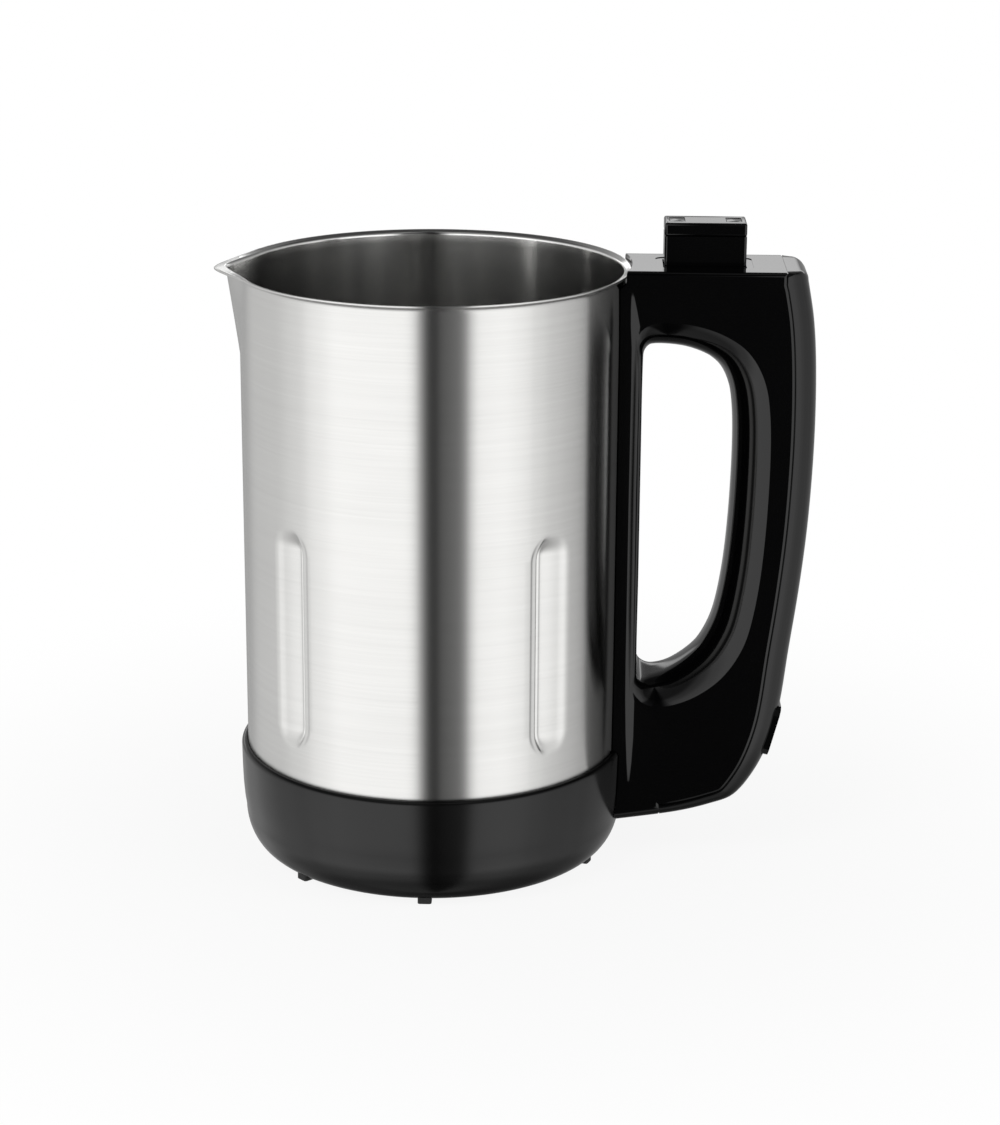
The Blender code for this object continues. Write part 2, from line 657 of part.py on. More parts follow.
def element_end(side):
    """Where a tail of the heating element ends, over its terminal."""
    angle = side * ELEMENT_OPEN_ANGLE
    low = ELEMENT_Z - ELEMENT_TURN_R - ELEMENT_TAIL
    return Vector((ELEMENT_R * math.cos(angle), ELEMENT_R * math.sin(angle) - side * ELEMENT_TURN_R, low))


def element_tail(side):
    """One end of the element: up from its terminal, then over onto the ring."""
    end = element_end(side)
    bend = [end]
    for a in (0, math.pi / 4, math.pi / 2):
        bend.append(end + Vector((0, side * ELEMENT_TURN_R * (1 - math.cos(a)),
                                  ELEMENT_TAIL + ELEMENT_TURN_R * math.sin(a))))
    return bend


def make_element(mat, tin):
    start, stop = ELEMENT_OPEN_ANGLE, 2 * math.pi - ELEMENT_OPEN_ANGLE
    arc = [start + (stop - start) * k / ELEMENT_STEPS for k in range(1, ELEMENT_STEPS)]
    ring = [Vector((ELEMENT_R * math.cos(a), ELEMENT_R * math.sin(a), ELEMENT_Z)) for a in arc]
    tube("heating_element", element_tail(1) + ring + element_tail(-1)[::-1], ELEMENT_TUBE_R, mat)
    for name, side in (("element_terminal_line", 1), ("element_terminal_neutral", -1)):
        end = element_end(side)
        rod(name, TERMINAL_R, TERMINAL_LENGTH, end - Vector((0, 0, GAP + TERMINAL_LENGTH / 2)), tin, None, 12)


def make_heater(aluminium, incoloy, steel, brass, black, tin, ceramic):
    plate = rod("heater_plate", PLATE_R, PLATE_THICK, (0, 0, PLATE_TOP_Z - PLATE_THICK / 2), aluminium,
                None, 48)
    cut(plate, rod("sensor_hole", SENSOR_R + GAP, PLATE_THICK * 3, (0, SENSOR_Y, PLATE_TOP_Z)))
    make_element(incoloy, tin)
    thermostat_z = PLATE_LOW_Z - GAP - THERMOSTAT_HEIGHT / 2
    thermostat = rod("thermostat", THERMOSTAT_R, THERMOSTAT_HEIGHT, (0, 0, thermostat_z), black, None, 24)
    for k, side in enumerate((-1, 1)):
        reach = (TAB_WIDTH / 2, TAB_THICK, THERMOSTAT_TAB + THERMOSTAT_HEIGHT)
        centre = (side * THERMOSTAT_R / 2, 0, thermostat_z - THERMOSTAT_TAB / 2 - MERGE)
        fuse(thermostat, block("thermostat_tab_%d" % k, reach, centre))
    fuse_z = PLATE_LOW_Z - GAP - FUSE_R
    along = Matrix.Rotation(math.pi / 2, 4, 'Y')
    rod("thermal_fuse", FUSE_R, FUSE_LENGTH, (0, FUSE_Y, fuse_z), ceramic, along, 12)
    inner = FUSE_R + GAP
    outer = inner + CLIP_THICK
    clip = block("fuse_clip", (CLIP_WIDTH, 2 * outer, fuse_z + inner - (fuse_z - outer)),
                 (0, FUSE_Y, fuse_z + (inner - outer) / 2 - GAP), steel, CLIP_THICK / 2, None, 'X')
    cut(clip, block("fuse_clip_hollow", (CLIP_WIDTH * 2, 2 * inner, 3 * inner),
                    (0, FUSE_Y, fuse_z + inner / 2)))
    rod("temperature_sensor", SENSOR_R, SENSOR_LENGTH, (0, SENSOR_Y, PLATE_TOP_Z - SENSOR_LENGTH / 2),
        brass, None, 16)
    holder_z = PLATE_LOW_Z - GAP - CLIP_THICK / 2
    holder = block("sensor_holder", (HOLDER_LENGTH, SENSOR_R * 2 + CLIP_WIDTH, CLIP_THICK),
                   (0, SENSOR_Y, holder_z), steel, CLIP_WIDTH / 3, None, 'Z')
    cut(holder, rod("holder_hole", SENSOR_R + GAP, CLIP_THICK * 4, (0, SENSOR_Y, holder_z)))


# Handle outlines


def handle_spot(share):
    return Vector((JUG_R + HANDLE_DEPTH * share[0], HANDLE_TOP_Z * share[1]))


def handle_outline():
    """Clockwise outline in XZ: along the top, round its back corner, down the back and forward underneath."""
    front = JUG_R - HANDLE_FRONT_INSET
    back_top = HANDLE_REACH - TOP_CORNER_INSET
    corner = Vector((back_top - TOP_CORNER_R, HANDLE_TOP_Z - TOP_CORNER_R))
    seam_x = HANDLE_REACH - SEAM_TOP_INSET
    top = [Vector((x, HANDLE_TOP_Z)) for x in (front, JUG_R + CAVITY_FRONT_RUN, seam_x)]
    turn = [math.pi / 2 * k / CORNER_STEPS for k in range(CORNER_STEPS)]
    arc = [corner + TOP_CORNER_R * Vector((math.sin(a), math.cos(a))) for a in turn]
    spots = [Vector((back_top, HANDLE_TOP_Z - TOP_CORNER_R))] + [handle_spot(s) for s in BACK_SHARES]
    return top + arc + smooth_line(spots, BACK_STEPS)


def handle_side_outline(outline):
    """The same points where the rounded edges end, on the handle's flat sides."""
    seam_x = HANDLE_REACH - SEAM_TOP_INSET
    inner = []
    for p, n in zip(outline, outward(outline, False)):
        drop = TOP_EDGE_R if n.y > 0 else UNDER_EDGE_R
        s = Vector((p.x - BACK_EDGE_R * max(n.x, 0), p.y - drop * n.y))
        near_top = n.y > 0 and s.y > HANDLE_TOP_Z - TOP_CORNER_R - TOP_EDGE_R
        if near_top and s.x > seam_x:
            s.x = seam_x + (s.x - seam_x) * CORNER_PINCH_SHARE
        inner.append(s)
    return inner


def opening_line():
    """The finger opening's outline, and how far its edge rolls outward at each point."""
    spots = [(*handle_spot(s), HANDLE_HALF * r) for s, r in zip(OPENING_SHARES, OPENING_ROLL_SHARES)]
    line = smooth_line(spots, OPENING_STEPS, closed=True)
    return [Vector((p.x, p.y)) for p in line], [p.z for p in line]


def rolled(points, side_points, y, half):
    """The outline at this distance from the handle's middle plane, rolling over to its side outline."""
    ring = []
    for p, s in zip(points, side_points):
        q = p + (s - p) * roll_in((s - p).length, y, half)
        ring.append((q.x, y, q.y))
    return ring


def stations(half):
    shares = [-s for s in reversed(STATION_SHARES)] + list(STATION_SHARES)
    return [half * s for s in shares]


def handle_loft(name, mat):
    outline = handle_outline()
    side = handle_side_outline(outline)
    return lofted(name, [rolled(outline, side, y, HANDLE_HALF) for y in stations(HANDLE_HALF)], mat)


def opening_cutter():
    outline, rolls = opening_line()
    side = [p + n * r for p, n, r in zip(outline, outward(outline, True), rolls)]
    rings = [rolled(outline, side, y, HANDLE_HALF) for y in stations(HANDLE_HALF)]
    for y, ring in ((-HANDLE_HALF - OVERRUN, rings[0]), (HANDLE_HALF + OVERRUN, rings[-1])):
        extra = [(x, y, z) for x, _, z in ring]
        rings = [extra] + rings if y < 0 else rings + [extra]
    return lofted("opening_cutter", rings)


def cavity_back():
    """The hollow's outline under the top, down the back and forward underneath, and where its sides end."""
    outline = handle_outline()
    front = JUG_R + CAVITY_FRONT_RUN
    ceiling = HANDLE_TOP_Z - HANDLE_TOP_WALL
    seam_x = HANDLE_REACH - SEAM_TOP_INSET
    line = []
    for p, s, n in zip(outline, handle_side_outline(outline), outward(outline, False)):
        on_corner = p.x > seam_x + MERGE and p.y > HANDLE_TOP_Z - TOP_CORNER_R + MERGE
        if p.x < front - MERGE or on_corner:
            continue
        reach = (s - p).length
        if reach > HANDLE_WALL + MERGE:
            q, end = p + (s - p) * (HANDLE_WALL / reach), s
        else:
            q = end = p - n * HANDLE_WALL
        line.append(tuple(Vector((max(v.x, front), min(v.y, ceiling))) for v in (q, end)))
    p, q = next((p, q) for p, q in zip(outline, outline[1:]) if p.x >= front > q.x)
    foot = p + (q - p) * ((p.x - front) / (p.x - q.x))
    return line + [(foot + Vector((0, HANDLE_WALL)), foot + Vector((0, UNDER_EDGE_R)))]


def cavity_front():
    """The hollow's outline one wall outside the finger opening, from low in front round to high in front."""
    front = JUG_R + CAVITY_FRONT_RUN
    hole, rolls = opening_line()
    line = []
    for p, n, r in reversed(list(zip(hole, outward(hole, True), rolls))):
        if p.x > front + HANDLE_WALL / 2:
            pair = p + n * HANDLE_WALL, p + n * max(r, HANDLE_WALL + GRIP_WALL_MIN)
            line.append(tuple(Vector((max(v.x, front), v.y)) for v in pair))
    corners = [tuple(Vector((front, v.y)) for v in line[i]) for i in (0, -1)]
    return corners[:1] + line + corners[1:]


def cavity_cutter():
    """The hollow of the handle: a C round the finger opening, one wall inside every outer surface."""
    line = cavity_back() + cavity_front()
    points, ends = [p for p, _ in line], [end for _, end in line]
    half = HANDLE_HALF - HANDLE_WALL
    return lofted("cavity_cutter", [rolled(points, ends, y, half) for y in stations(half)])


def seam_line():
    """The seam's points on the handle's side, from the top down the back and forward to the butt joint."""
    outline = handle_outline()
    side = handle_side_outline(outline)
    normals = outward(outline, False)
    butt = JUG_R + SEAM_FOOT_RUN
    seam_x = HANDLE_REACH - SEAM_TOP_INSET
    first = HANDLE_TOP_Z - TOP_CORNER_R
    return [(s, n) for p, s, n in zip(outline, side, normals) if p.y < first and s.x > butt], seam_x, butt


def cover_zone(name, shift):
    """Everything behind the seam, grown by shift towards the handle body."""
    line, seam_x, butt = seam_line()
    far = HANDLE_REACH + OVERRUN
    high = HANDLE_TOP_Z + OVERRUN
    shape = [Vector((seam_x - shift, high))]
    shape += [s - n * shift for s, n in line]
    shape += [Vector((butt - shift, line[-1][0].y + shift)), Vector((butt - shift, 0)), Vector((far, 0)),
              Vector((far, high))]
    return prism(name, shape, HANDLE_HALF + OVERRUN)


def front_cutter():
    """The jug and the base housing with their clearance, which shape the handle's front."""
    base = [(r + GAP, z) for r, z in base_outside()[1:]]
    lip_under = RIM_Z - LIP_DROP - GAP
    profile = [(0, HANDLE_TOP_Z + OVERRUN), (LIP_R + GAP, HANDLE_TOP_Z + OVERRUN), (LIP_R + GAP, lip_under),
               (JUG_R + GAP, lip_under - LIP_OVERHANG), (JUG_R + GAP, BASE_TOP_Z + GAP),
               (BASE_R - BASE_SHOULDER + GAP, BASE_TOP_Z + GAP)]
    return turned("front_cutter", profile + base + [(0, BASE_UNDER_Z - OVERRUN)], None, 2 * TURN_STEPS)


def bracket_heights():
    """The upper bracket hangs from the handle's top; the lower is between the base and the finger opening."""
    room = HANDLE_TOP_Z * min(z for _, z in OPENING_SHARES) - BASE_TOP_Z
    return {"upper": HANDLE_TOP_Z - UPPER_BRACKET_DROP, "lower": BASE_TOP_Z + room * LOWER_BRACKET_SHARE}


def make_brackets(steel, body):
    """Each bracket is welded to the jug; the handle fits over it and is screwed to it from inside."""
    face = JUG_R + GAP + BRACKET_DEPTH
    wall_near = face + GAP
    wall_far = JUG_R + CAVITY_FRONT_RUN
    for name, z in bracket_heights().items():
        bracket = block("handle_bracket_" + name, (BRACKET_DEPTH * 2, BRACKET_WIDTH, BRACKET_HEIGHT),
                        (face - BRACKET_DEPTH, 0, z), steel, BRACKET_DEPTH / 4, None, 'X')
        curve = rod("jug_curve_" + name, JUG_R + GAP, BRACKET_HEIGHT * 2, (0, 0, z),
                    None, None, 2 * TURN_STEPS)
        across = Matrix.Rotation(math.pi / 2, 4, 'Y')
        bore = rod("bracket_bore_" + name, M4_BORE, BRACKET_DEPTH * 4, (face, 0, z), None, across)
        cut(bracket, curve, bore)
        pocket = block("bracket_pocket_" + name,
                       (wall_near - JUG_R + OVERRUN, BRACKET_WIDTH + 2 * GAP, BRACKET_HEIGHT + 2 * GAP),
                       ((wall_near + JUG_R - OVERRUN) / 2, 0, z))
        hole = rod("handle_hole_" + name, M4_BORE, (wall_far - wall_near) * 4, (wall_far, 0, z), None, across)
        cut(body, pocket, hole)
        screw("handle_screw_" + name, steel, M4_R, M4_HEAD_R, M4_HEAD_THICK,
              wall_far - wall_near + HANDLE_SCREW_LENGTH, (wall_far + GAP, 0, z), (-1, 0, 0))


def make_handle(black, steel):
    body = handle_loft("handle_body", black)
    cover = handle_loft("handle_cover", black)
    cut(body, opening_cutter(), front_cutter(), cavity_cutter(), cover_zone("body_zone_cutter", GAP / 2))
    hollow = bpy.data.objects["cavity_cutter"]
    cut(cover, hollow)
    combine(cover, cover_zone("cover_zone", -GAP / 2), 'INTERSECT')
    channel_z = CHANNEL_LOW_Z + CHANNEL_HEIGHT / 2
    cut(body, block("lead_channel", (CAVITY_FRONT_RUN * 3, 2 * CHANNEL_HALF, CHANNEL_HEIGHT),
                    (JUG_R, 0, channel_z)))
    make_brackets(steel, body)
    return body, cover


# Coupler


def contact_places():
    """Centre of each contact: three under each of the cap's two slots."""
    ends = COUPLER_LENGTH / 2 - SLOT_INSET - GAP
    return [(COUPLER_X + side * ends, k * CONTACT_PITCH) for side in (-1, 1) for k in (-1, 0, 1)]


def contact_low():
    return HANDLE_TOP_Z + COUPLER_RISE - CAP_HEIGHT - GAP - CONTACT_HEIGHT


def make_coupler(black, grey, brass, steel, body):
    cap_low = COUPLER_TOP_Z - CAP_HEIGHT
    body_top = cap_low - GAP
    pocket_floor = HANDLE_TOP_Z - POCKET_DEPTH
    wall_under = HANDLE_TOP_Z - HANDLE_TOP_WALL
    flange_top = wall_under - GAP
    flange_low = flange_top - FLANGE_THICK
    pocket = block("pocket_cutter", (POCKET_LENGTH, POCKET_WIDTH, 2 * POCKET_DEPTH),
                   (COUPLER_X, 0, HANDLE_TOP_Z), None, POCKET_CORNER, None, 'Z')
    way = block("coupler_way", (COUPLER_LENGTH + 2 * GAP, COUPLER_WIDTH + 2 * GAP, HANDLE_TOP_WALL * 4),
                (COUPLER_X, 0, pocket_floor), None, COUPLER_EDGE, None, 'Z')
    cut(body, pocket, way)

    height = body_top - flange_low
    shell = block("coupler_body", (COUPLER_LENGTH, COUPLER_WIDTH, height),
                  (COUPLER_X, 0, flange_low + height / 2), black, COUPLER_EDGE, None, 'Z')
    flange = block("coupler_flange", (FLANGE_LENGTH, 2 * FLANGE_HALF, FLANGE_THICK),
                   (COUPLER_X, 0, flange_top - FLANGE_THICK / 2), None, COUPLER_EDGE, None, 'Z')
    bore = block("coupler_bore",
                 (COUPLER_LENGTH - 2 * COUPLER_WALL, COUPLER_WIDTH - 2 * COUPLER_WALL, height * 2),
                 (COUPLER_X, 0, flange_low + height / 2))
    fuse(shell, flange)
    cut(shell, bore)

    cap = block("coupler_cap", (COUPLER_LENGTH, COUPLER_WIDTH, CAP_HEIGHT),
                (COUPLER_X, 0, cap_low + CAP_HEIGHT / 2), black, COUPLER_EDGE, None, 'ALL')
    carrier_size = (COUPLER_LENGTH - 2 * COUPLER_WALL - 2 * GAP, COUPLER_WIDTH - 2 * COUPLER_WALL - 2 * GAP,
                    CARRIER_HEIGHT)
    carrier_z = body_top - SMALL_HEAD_THICK - CARRIER_HEIGHT / 2
    carrier = block("contact_carrier", carrier_size, (COUPLER_X, 0, carrier_z), grey, COUPLER_EDGE, None, 'Z')
    for k, side in enumerate((-1, 1)):
        x = COUPLER_X + side * (COUPLER_LENGTH / 2 - SLOT_INSET - GAP)
        cut(cap, block("cap_slot_%d" % k, (SLOT_LENGTH, SLOT_WIDTH, CAP_HEIGHT * 3), (x, 0, cap_low)))
    for k, (x, y) in enumerate(contact_places()):
        cut(carrier, block("carrier_slot_%d" % k, (CONTACT_LENGTH + 2 * GAP, CONTACT_THICK + 2 * GAP,
                                                   CARRIER_HEIGHT * 2), (x, y, carrier_z)))
        block("contact_%d" % (k + 1), (CONTACT_LENGTH, CONTACT_THICK, CONTACT_HEIGHT),
              (x, y, contact_low() + CONTACT_HEIGHT / 2), brass)
    for k, side in enumerate((-1, 1)):
        y = side * COUPLER_SCREW_Y
        hole = rod("coupler_hole_%d" % k, SMALL_SCREW_R + GAP, FLANGE_THICK * 4, (COUPLER_X, y, flange_top))
        cut(shell, hole)
        bite = COUPLER_SCREW_BITE + GAP
        tap = rod("coupler_tap_%d" % k, SMALL_SCREW_R + GAP, bite + OVERRUN,
                  (COUPLER_X, y, wall_under + (bite - OVERRUN) / 2))
        cut(body, tap)
        screw("coupler_screw_%d" % (k + 1), steel, SMALL_SCREW_R, SMALL_HEAD_R, SMALL_HEAD_THICK,
              FLANGE_THICK + GAP + COUPLER_SCREW_BITE, (COUPLER_X, y, flange_low - GAP), (0, 0, 1), 12)


# Mains inlet


def inlet_frame():
    """Origin, directions and rotation of the inlet. Local +Z faces out of the cover, local X lies across."""
    outline = handle_outline()
    below = [p for p in outline if p.y < INLET_Z and p.x > JUG_R]
    above = [p for p in outline if p.y >= INLET_Z]
    p, q = above[-1], below[0]
    t = (p.y - INLET_Z) / (p.y - q.y)
    surface = Vector((p.x + (q.x - p.x) * t, 0, INLET_Z))
    out = Vector((math.cos(INLET_TILT), 0, -math.sin(INLET_TILT)))
    across = Vector((0, 1, 0))
    up = out.cross(across)
    turn = Matrix((across, up, out)).transposed().to_4x4()
    return surface, out, up, turn


def inlet_spot(across, rise, depth):
    """A point given across the inlet, up its face, and in from the cover's surface."""
    surface, out, up, _ = inlet_frame()
    return surface + Vector((0, across, 0)) + up * rise - out * depth


def pin_places():
    """(name, place across, rise) of each pin on the inlet's face."""
    return (("inlet_pin_line", -PIN_PITCH, -PIN_EARTH_RISE),
            ("inlet_pin_neutral", PIN_PITCH, -PIN_EARTH_RISE),
            ("inlet_pin_earth", 0, PIN_EARTH_RISE))


def make_inlet(black, steel, cover):
    _, out, _, turn = inlet_frame()
    aperture = block("inlet_way", (INLET_WIDTH + 2 * GAP, INLET_HEIGHT + 2 * GAP, INLET_DEPTH * 2),
                     inlet_spot(0, 0, 0), None, INLET_CORNER, turn, 'Z')
    cut(cover, aperture)
    length = INLET_DEPTH + INLET_PROUD
    shell = block("inlet_socket", (INLET_WIDTH, INLET_HEIGHT, length),
                  inlet_spot(0, 0, INLET_DEPTH - length / 2), black, INLET_CORNER, turn, 'Z')
    ear_rise = INLET_HEIGHT / 2 + EAR_REACH
    ears = block("inlet_ears", (2 * EAR_HALF, 2 * ear_rise, EAR_THICK),
                 inlet_spot(0, 0, EAR_SET_IN + EAR_THICK / 2), None, INLET_CORNER / 2, turn, 'Z')
    fuse(shell, ears)
    recess = block("inlet_recess", (SOCKET_WIDTH, SOCKET_HEIGHT, 2 * SOCKET_DEPTH),
                   inlet_spot(0, 0, -INLET_PROUD), None, SOCKET_CORNER, turn, 'Z')
    cut(shell, recess)
    pin_in = INLET_DEPTH + OVERRUN
    for name, across, rise in pin_places():
        cut(shell, block(name + "_way", (PIN_THICK + 2 * GAP, PIN_WIDTH + 2 * GAP, INLET_DEPTH),
                         inlet_spot(across, rise, INLET_DEPTH), None, 0, turn))
        block(name, (PIN_THICK, PIN_WIDTH, PIN_LENGTH), inlet_spot(across, rise, pin_in - PIN_LENGTH / 2),
              steel, PIN_THICK / 4, turn, 'Z')
    for k, side in enumerate((1, -1)):
        rise = side * (INLET_HEIGHT / 2 + EAR_REACH / 2)
        cut(shell, rod("ear_hole_%d" % k, SMALL_SCREW_R + GAP, EAR_THICK * 4,
                       inlet_spot(0, rise, EAR_SET_IN), None, turn))
        boss_top = HANDLE_WALL / 2
        boss_low = EAR_SET_IN - GAP
        fuse(cover, rod("ear_boss_%d" % k, INLET_BOSS_R, boss_low - boss_top,
                        inlet_spot(0, rise, (boss_low + boss_top) / 2), None, turn))
    for k, side in enumerate((1, -1)):
        rise = side * (INLET_HEIGHT / 2 + EAR_REACH / 2)
        bite = INLET_SCREW_BITE + GAP
        low = EAR_SET_IN + OVERRUN
        cut(cover, rod("ear_tap_%d" % k, SMALL_SCREW_R + GAP, low - (EAR_SET_IN - GAP - bite),
                       inlet_spot(0, rise, (low + EAR_SET_IN - GAP - bite) / 2), None, turn))
        seat = inlet_spot(0, rise, EAR_SET_IN + EAR_THICK + GAP)
        screw("inlet_screw_%d" % (k + 1), steel, SMALL_SCREW_R, SMALL_HEAD_R, SMALL_HEAD_THICK,
              EAR_THICK + 2 * GAP + INLET_SCREW_BITE - GAP, seat, tuple(out), 12)


# Leads


def lead(name, places, mat):
    tube(name, smooth_line(places, LEAD_STEPS), LEAD_R, mat)


def in_handle(route, y):
    return [Vector((JUG_R + HANDLE_DEPTH * run, y, HANDLE_TOP_Z * rise)) for run, rise in route]


def in_base(route, y, side):
    """The route across the base, moved over to y at its start and turned to this side."""
    return [Vector((JUG_R * run, y + side * JUG_R * across, BASE_TOP_Z * rise))
            for run, across, rise in route]


def make_leads(white, blue, green, red):
    """Each lead keeps to its own plane across the handle, mains behind and heater in front, so none cross."""
    low = contact_low() - GAP
    ends = [Vector((x, y, low)) for x, y in contact_places()]
    stub = Vector((0, 0, 2 * LEAD_R))
    pin_in = INLET_DEPTH + OVERRUN + GAP
    mains = (("lead_line", pin_places()[0], ends[3], white), ("lead_earth", pin_places()[2], ends[4], green),
             ("lead_neutral", pin_places()[1], ends[5], blue))
    for name, (_, across, rise), end, mat in mains:
        start = [inlet_spot(across, rise, pin_in), inlet_spot(across, rise, pin_in + 2 * LEAD_R)]
        lead(name, start + in_handle(MAINS_ROUTE_SHARES, end.y) + [end - stub, end], mat)
    drop = Vector((0, 0, GAP + TERMINAL_LENGTH))
    for name, side, end in (("lead_heater_neutral", -1, ends[0]), ("lead_heater_line", 1, ends[2])):
        foot = element_end(side) - drop - Vector((0, 0, GAP))
        route = in_handle(GRIP_ROUTE_SHARES, end.y) + in_base(FOOT_ROUTE_SHARES, end.y, side)
        route += in_base(HEATER_ROUTE_SHARES, 0, side)
        lead(name, [end, end - stub] + route + [foot - stub, foot], red)
    sensor = Vector((0, SENSOR_Y, PLATE_TOP_Z - SENSOR_LENGTH - GAP))
    route = in_handle(GRIP_ROUTE_SHARES, 0) + in_base(FOOT_ROUTE_SHARES + SENSOR_ROUTE_SHARES, 0, 1)
    lead("lead_sensor", [ends[1], ends[1] - stub] + route + [sensor - 2 * stub, sensor], white)


def build():
    black = make_material("black_plastic", (0.012, 0.012, 0.013), 0.18)
    grey = make_material("insulator_plastic", (0.09, 0.09, 0.095), 0.5)
    steel = make_material("brushed_stainless", (0.62, 0.61, 0.59), 0.28, 1.0)
    zinc = make_material("zinc_steel", (0.5, 0.51, 0.52), 0.4, 1.0)
    aluminium = make_material("cast_aluminium", (0.72, 0.72, 0.73), 0.45, 1.0)
    incoloy = make_material("element_sheath", (0.22, 0.21, 0.2), 0.5, 1.0)
    brass = make_material("brass", (0.72, 0.52, 0.24), 0.32, 1.0)
    tin = make_material("tinned_copper", (0.68, 0.68, 0.66), 0.35, 1.0)
    rubber = make_material("rubber", (0.02, 0.02, 0.02), 0.8)
    ceramic = make_material("fuse_sleeve", (0.75, 0.73, 0.68), 0.6)
    white = make_material("lead_white", (0.7, 0.69, 0.66), 0.5)
    blue = make_material("lead_blue", (0.05, 0.12, 0.4), 0.5)
    green = make_material("lead_green", (0.1, 0.35, 0.08), 0.5)
    red = make_material("lead_red", (0.5, 0.04, 0.03), 0.5)
    make_jug(steel)
    make_base(black, rubber, zinc)
    make_heater(aluminium, incoloy, zinc, brass, grey, tin, ceramic)
    body, cover = make_handle(black, zinc)
    make_coupler(black, grey, brass, zinc, body)
    make_inlet(black, tin, cover)
    make_leads(white, blue, green, red)


clear_scene()
ASSEMBLY = bpy.data.objects.new("assembly", None)
bpy.context.scene.collection.objects.link(ASSEMBLY)
ASSEMBLY.location.x = CENTRE_X
build()
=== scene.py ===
"""Studio scene of the soup blender's heated jug: brushed steel on a gloss black base and handle.

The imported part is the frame. Fine meshes stand for the pieces that show from outside, made from the same
sizes as the part, and the pieces inside keep their solids with finishes of their own.
"""
import json
import math

import bmesh
import bpy
from mathutils import Matrix, Vector


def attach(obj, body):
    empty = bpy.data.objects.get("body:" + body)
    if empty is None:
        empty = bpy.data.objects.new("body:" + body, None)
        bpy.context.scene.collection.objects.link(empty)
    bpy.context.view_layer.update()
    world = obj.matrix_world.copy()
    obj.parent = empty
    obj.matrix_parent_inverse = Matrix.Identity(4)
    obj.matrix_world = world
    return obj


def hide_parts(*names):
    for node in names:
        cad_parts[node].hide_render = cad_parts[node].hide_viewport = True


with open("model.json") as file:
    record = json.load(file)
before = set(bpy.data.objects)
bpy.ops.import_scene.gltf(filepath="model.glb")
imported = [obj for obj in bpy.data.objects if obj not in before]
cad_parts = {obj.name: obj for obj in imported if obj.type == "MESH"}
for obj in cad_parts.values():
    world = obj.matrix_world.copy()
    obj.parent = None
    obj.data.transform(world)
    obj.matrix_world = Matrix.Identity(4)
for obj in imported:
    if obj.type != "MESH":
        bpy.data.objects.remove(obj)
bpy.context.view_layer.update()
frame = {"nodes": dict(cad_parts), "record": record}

MM = 0.001
GAP = 0.3 * MM
OVERRUN = 3.0 * MM
MERGE = 0.002 * MM
FLAT_AREA = 60.0 * MM * MM
FLAT_ANGLE = math.radians(4.0)
JUG_AXIS = Vector((-29.7 * MM, 0, 0))

# Jug
JUG_R = 69.0 * MM
JUG_WALL = 0.8 * MM
JUG_FLOOR_Z = 33.0 * MM
JUG_CORNER_R = 6.0 * MM
RIM_Z = 219.6 * MM
LIP_OVERHANG = 2.0 * MM
LIP_ROOM = 3.2 * MM
SPOUT_NOSE = 5.2 * MM
SPOUT_DROP = 34.7 * MM
SPOUT_LIP_EXTRA = 2.1 * MM
SPOUT_LIP_DIP = 1.4 * MM
SPOUT_LIP_CURVE = 0.6
SPOUT_TOP_ANGLE = math.radians(24.0)
SPOUT_FOOT_ANGLE = math.radians(17.0)
SPOUT_NOSE_ANGLE = math.radians(4.5)
SPOUT_SPREAD_ANGLE = math.radians(42.0)
FLUTE_WIDTH = 19.0 * MM
FLUTE_FOOT_Z = 53.5 * MM
FLUTE_LENGTH = 82.5 * MM
FLUTE_END = 10.0 * MM
FLUTE_ANGLES = tuple(math.radians(a) for a in (-50.0, -134.1, 134.1, 50.0))
FLUTE_HALF_ANGLE = FLUTE_WIDTH / 2 / JUG_R
# Depth of a flute across its width, both in millimetres, from the side nearer the jug's front or back
FLUTE_PROFILE = ((0, 0), (0.65, 0.38), (3.0, 0.5), (3.6, 1.9), (4.0, 2.55), (4.35, 2.62), (5.1, 2.25),
                 (5.4, 2.4), (5.9, 2.42), (9.5, 1.72), (13.8, 0.92), (16.4, 0.12), (17.3, 0), (19.0, 0))
FLUTE_SPAN = FLUTE_PROFILE[-1][0]
# A flute's depth is the profile's mean at these shifts, and comes in this fast from its sides and its ends
FLUTE_SHIFTS = (-0.3, -0.15, 0, 0.15, 0.3)
FLUTE_EDGE_RISE = 8
FLUTE_END_RISE = 1.25
# The lip's section, from under it over its edge and down inside: inset of the radius and drop below the rim,
# both in millimetres, and share of the overhang
LIP_SECTION = (
    (0, 3.2, 0), (0, 2.5, 0.015), (0, 2.0, 0.06), (0, 1.6, 0.16), (0, 1.3, 0.34), (0, 1.1, 0.58),
    (0, 0.98, 0.82), (0, 0.88, 0.93), (0, 0.68, 0.985), (0, 0.42, 1.0), (0, 0.18, 0.985), (0, 0.04, 0.93),
    (0, 0, 0.85), (0, 0.1, 0.68), (0, 0.3, 0.4), (0, 0.5, 0.14), (0.12, 0.62, 0), (0.38, 0.78, 0),
    (0.6, 1.0, 0), (0.74, 1.35, 0), (0.8, 1.9, 0),
)
# The wall's columns, in degrees round the jug, in millimetres across a flute and in degrees from the spout's
# nose, and the millimetres between its rows from the floor up
ROUND_COLUMNS = [2.5 * k for k in range(-57, 58)]
FLUTE_COLUMNS = [0.25 * k for k in range(25)] + [7.0 + k for k in range(13)]
SPOUT_COLUMNS = [0.6 * k for k in range(1, 44)] + [27.5, 29, 31, 33, 35]
ROW_STEPS = (5.0, 0.55, 4.0, 0.55, 6.0, 1.6)
FLOOR_SHARES = (0.2, 0.4, 0.6, 0.8, 0.95)

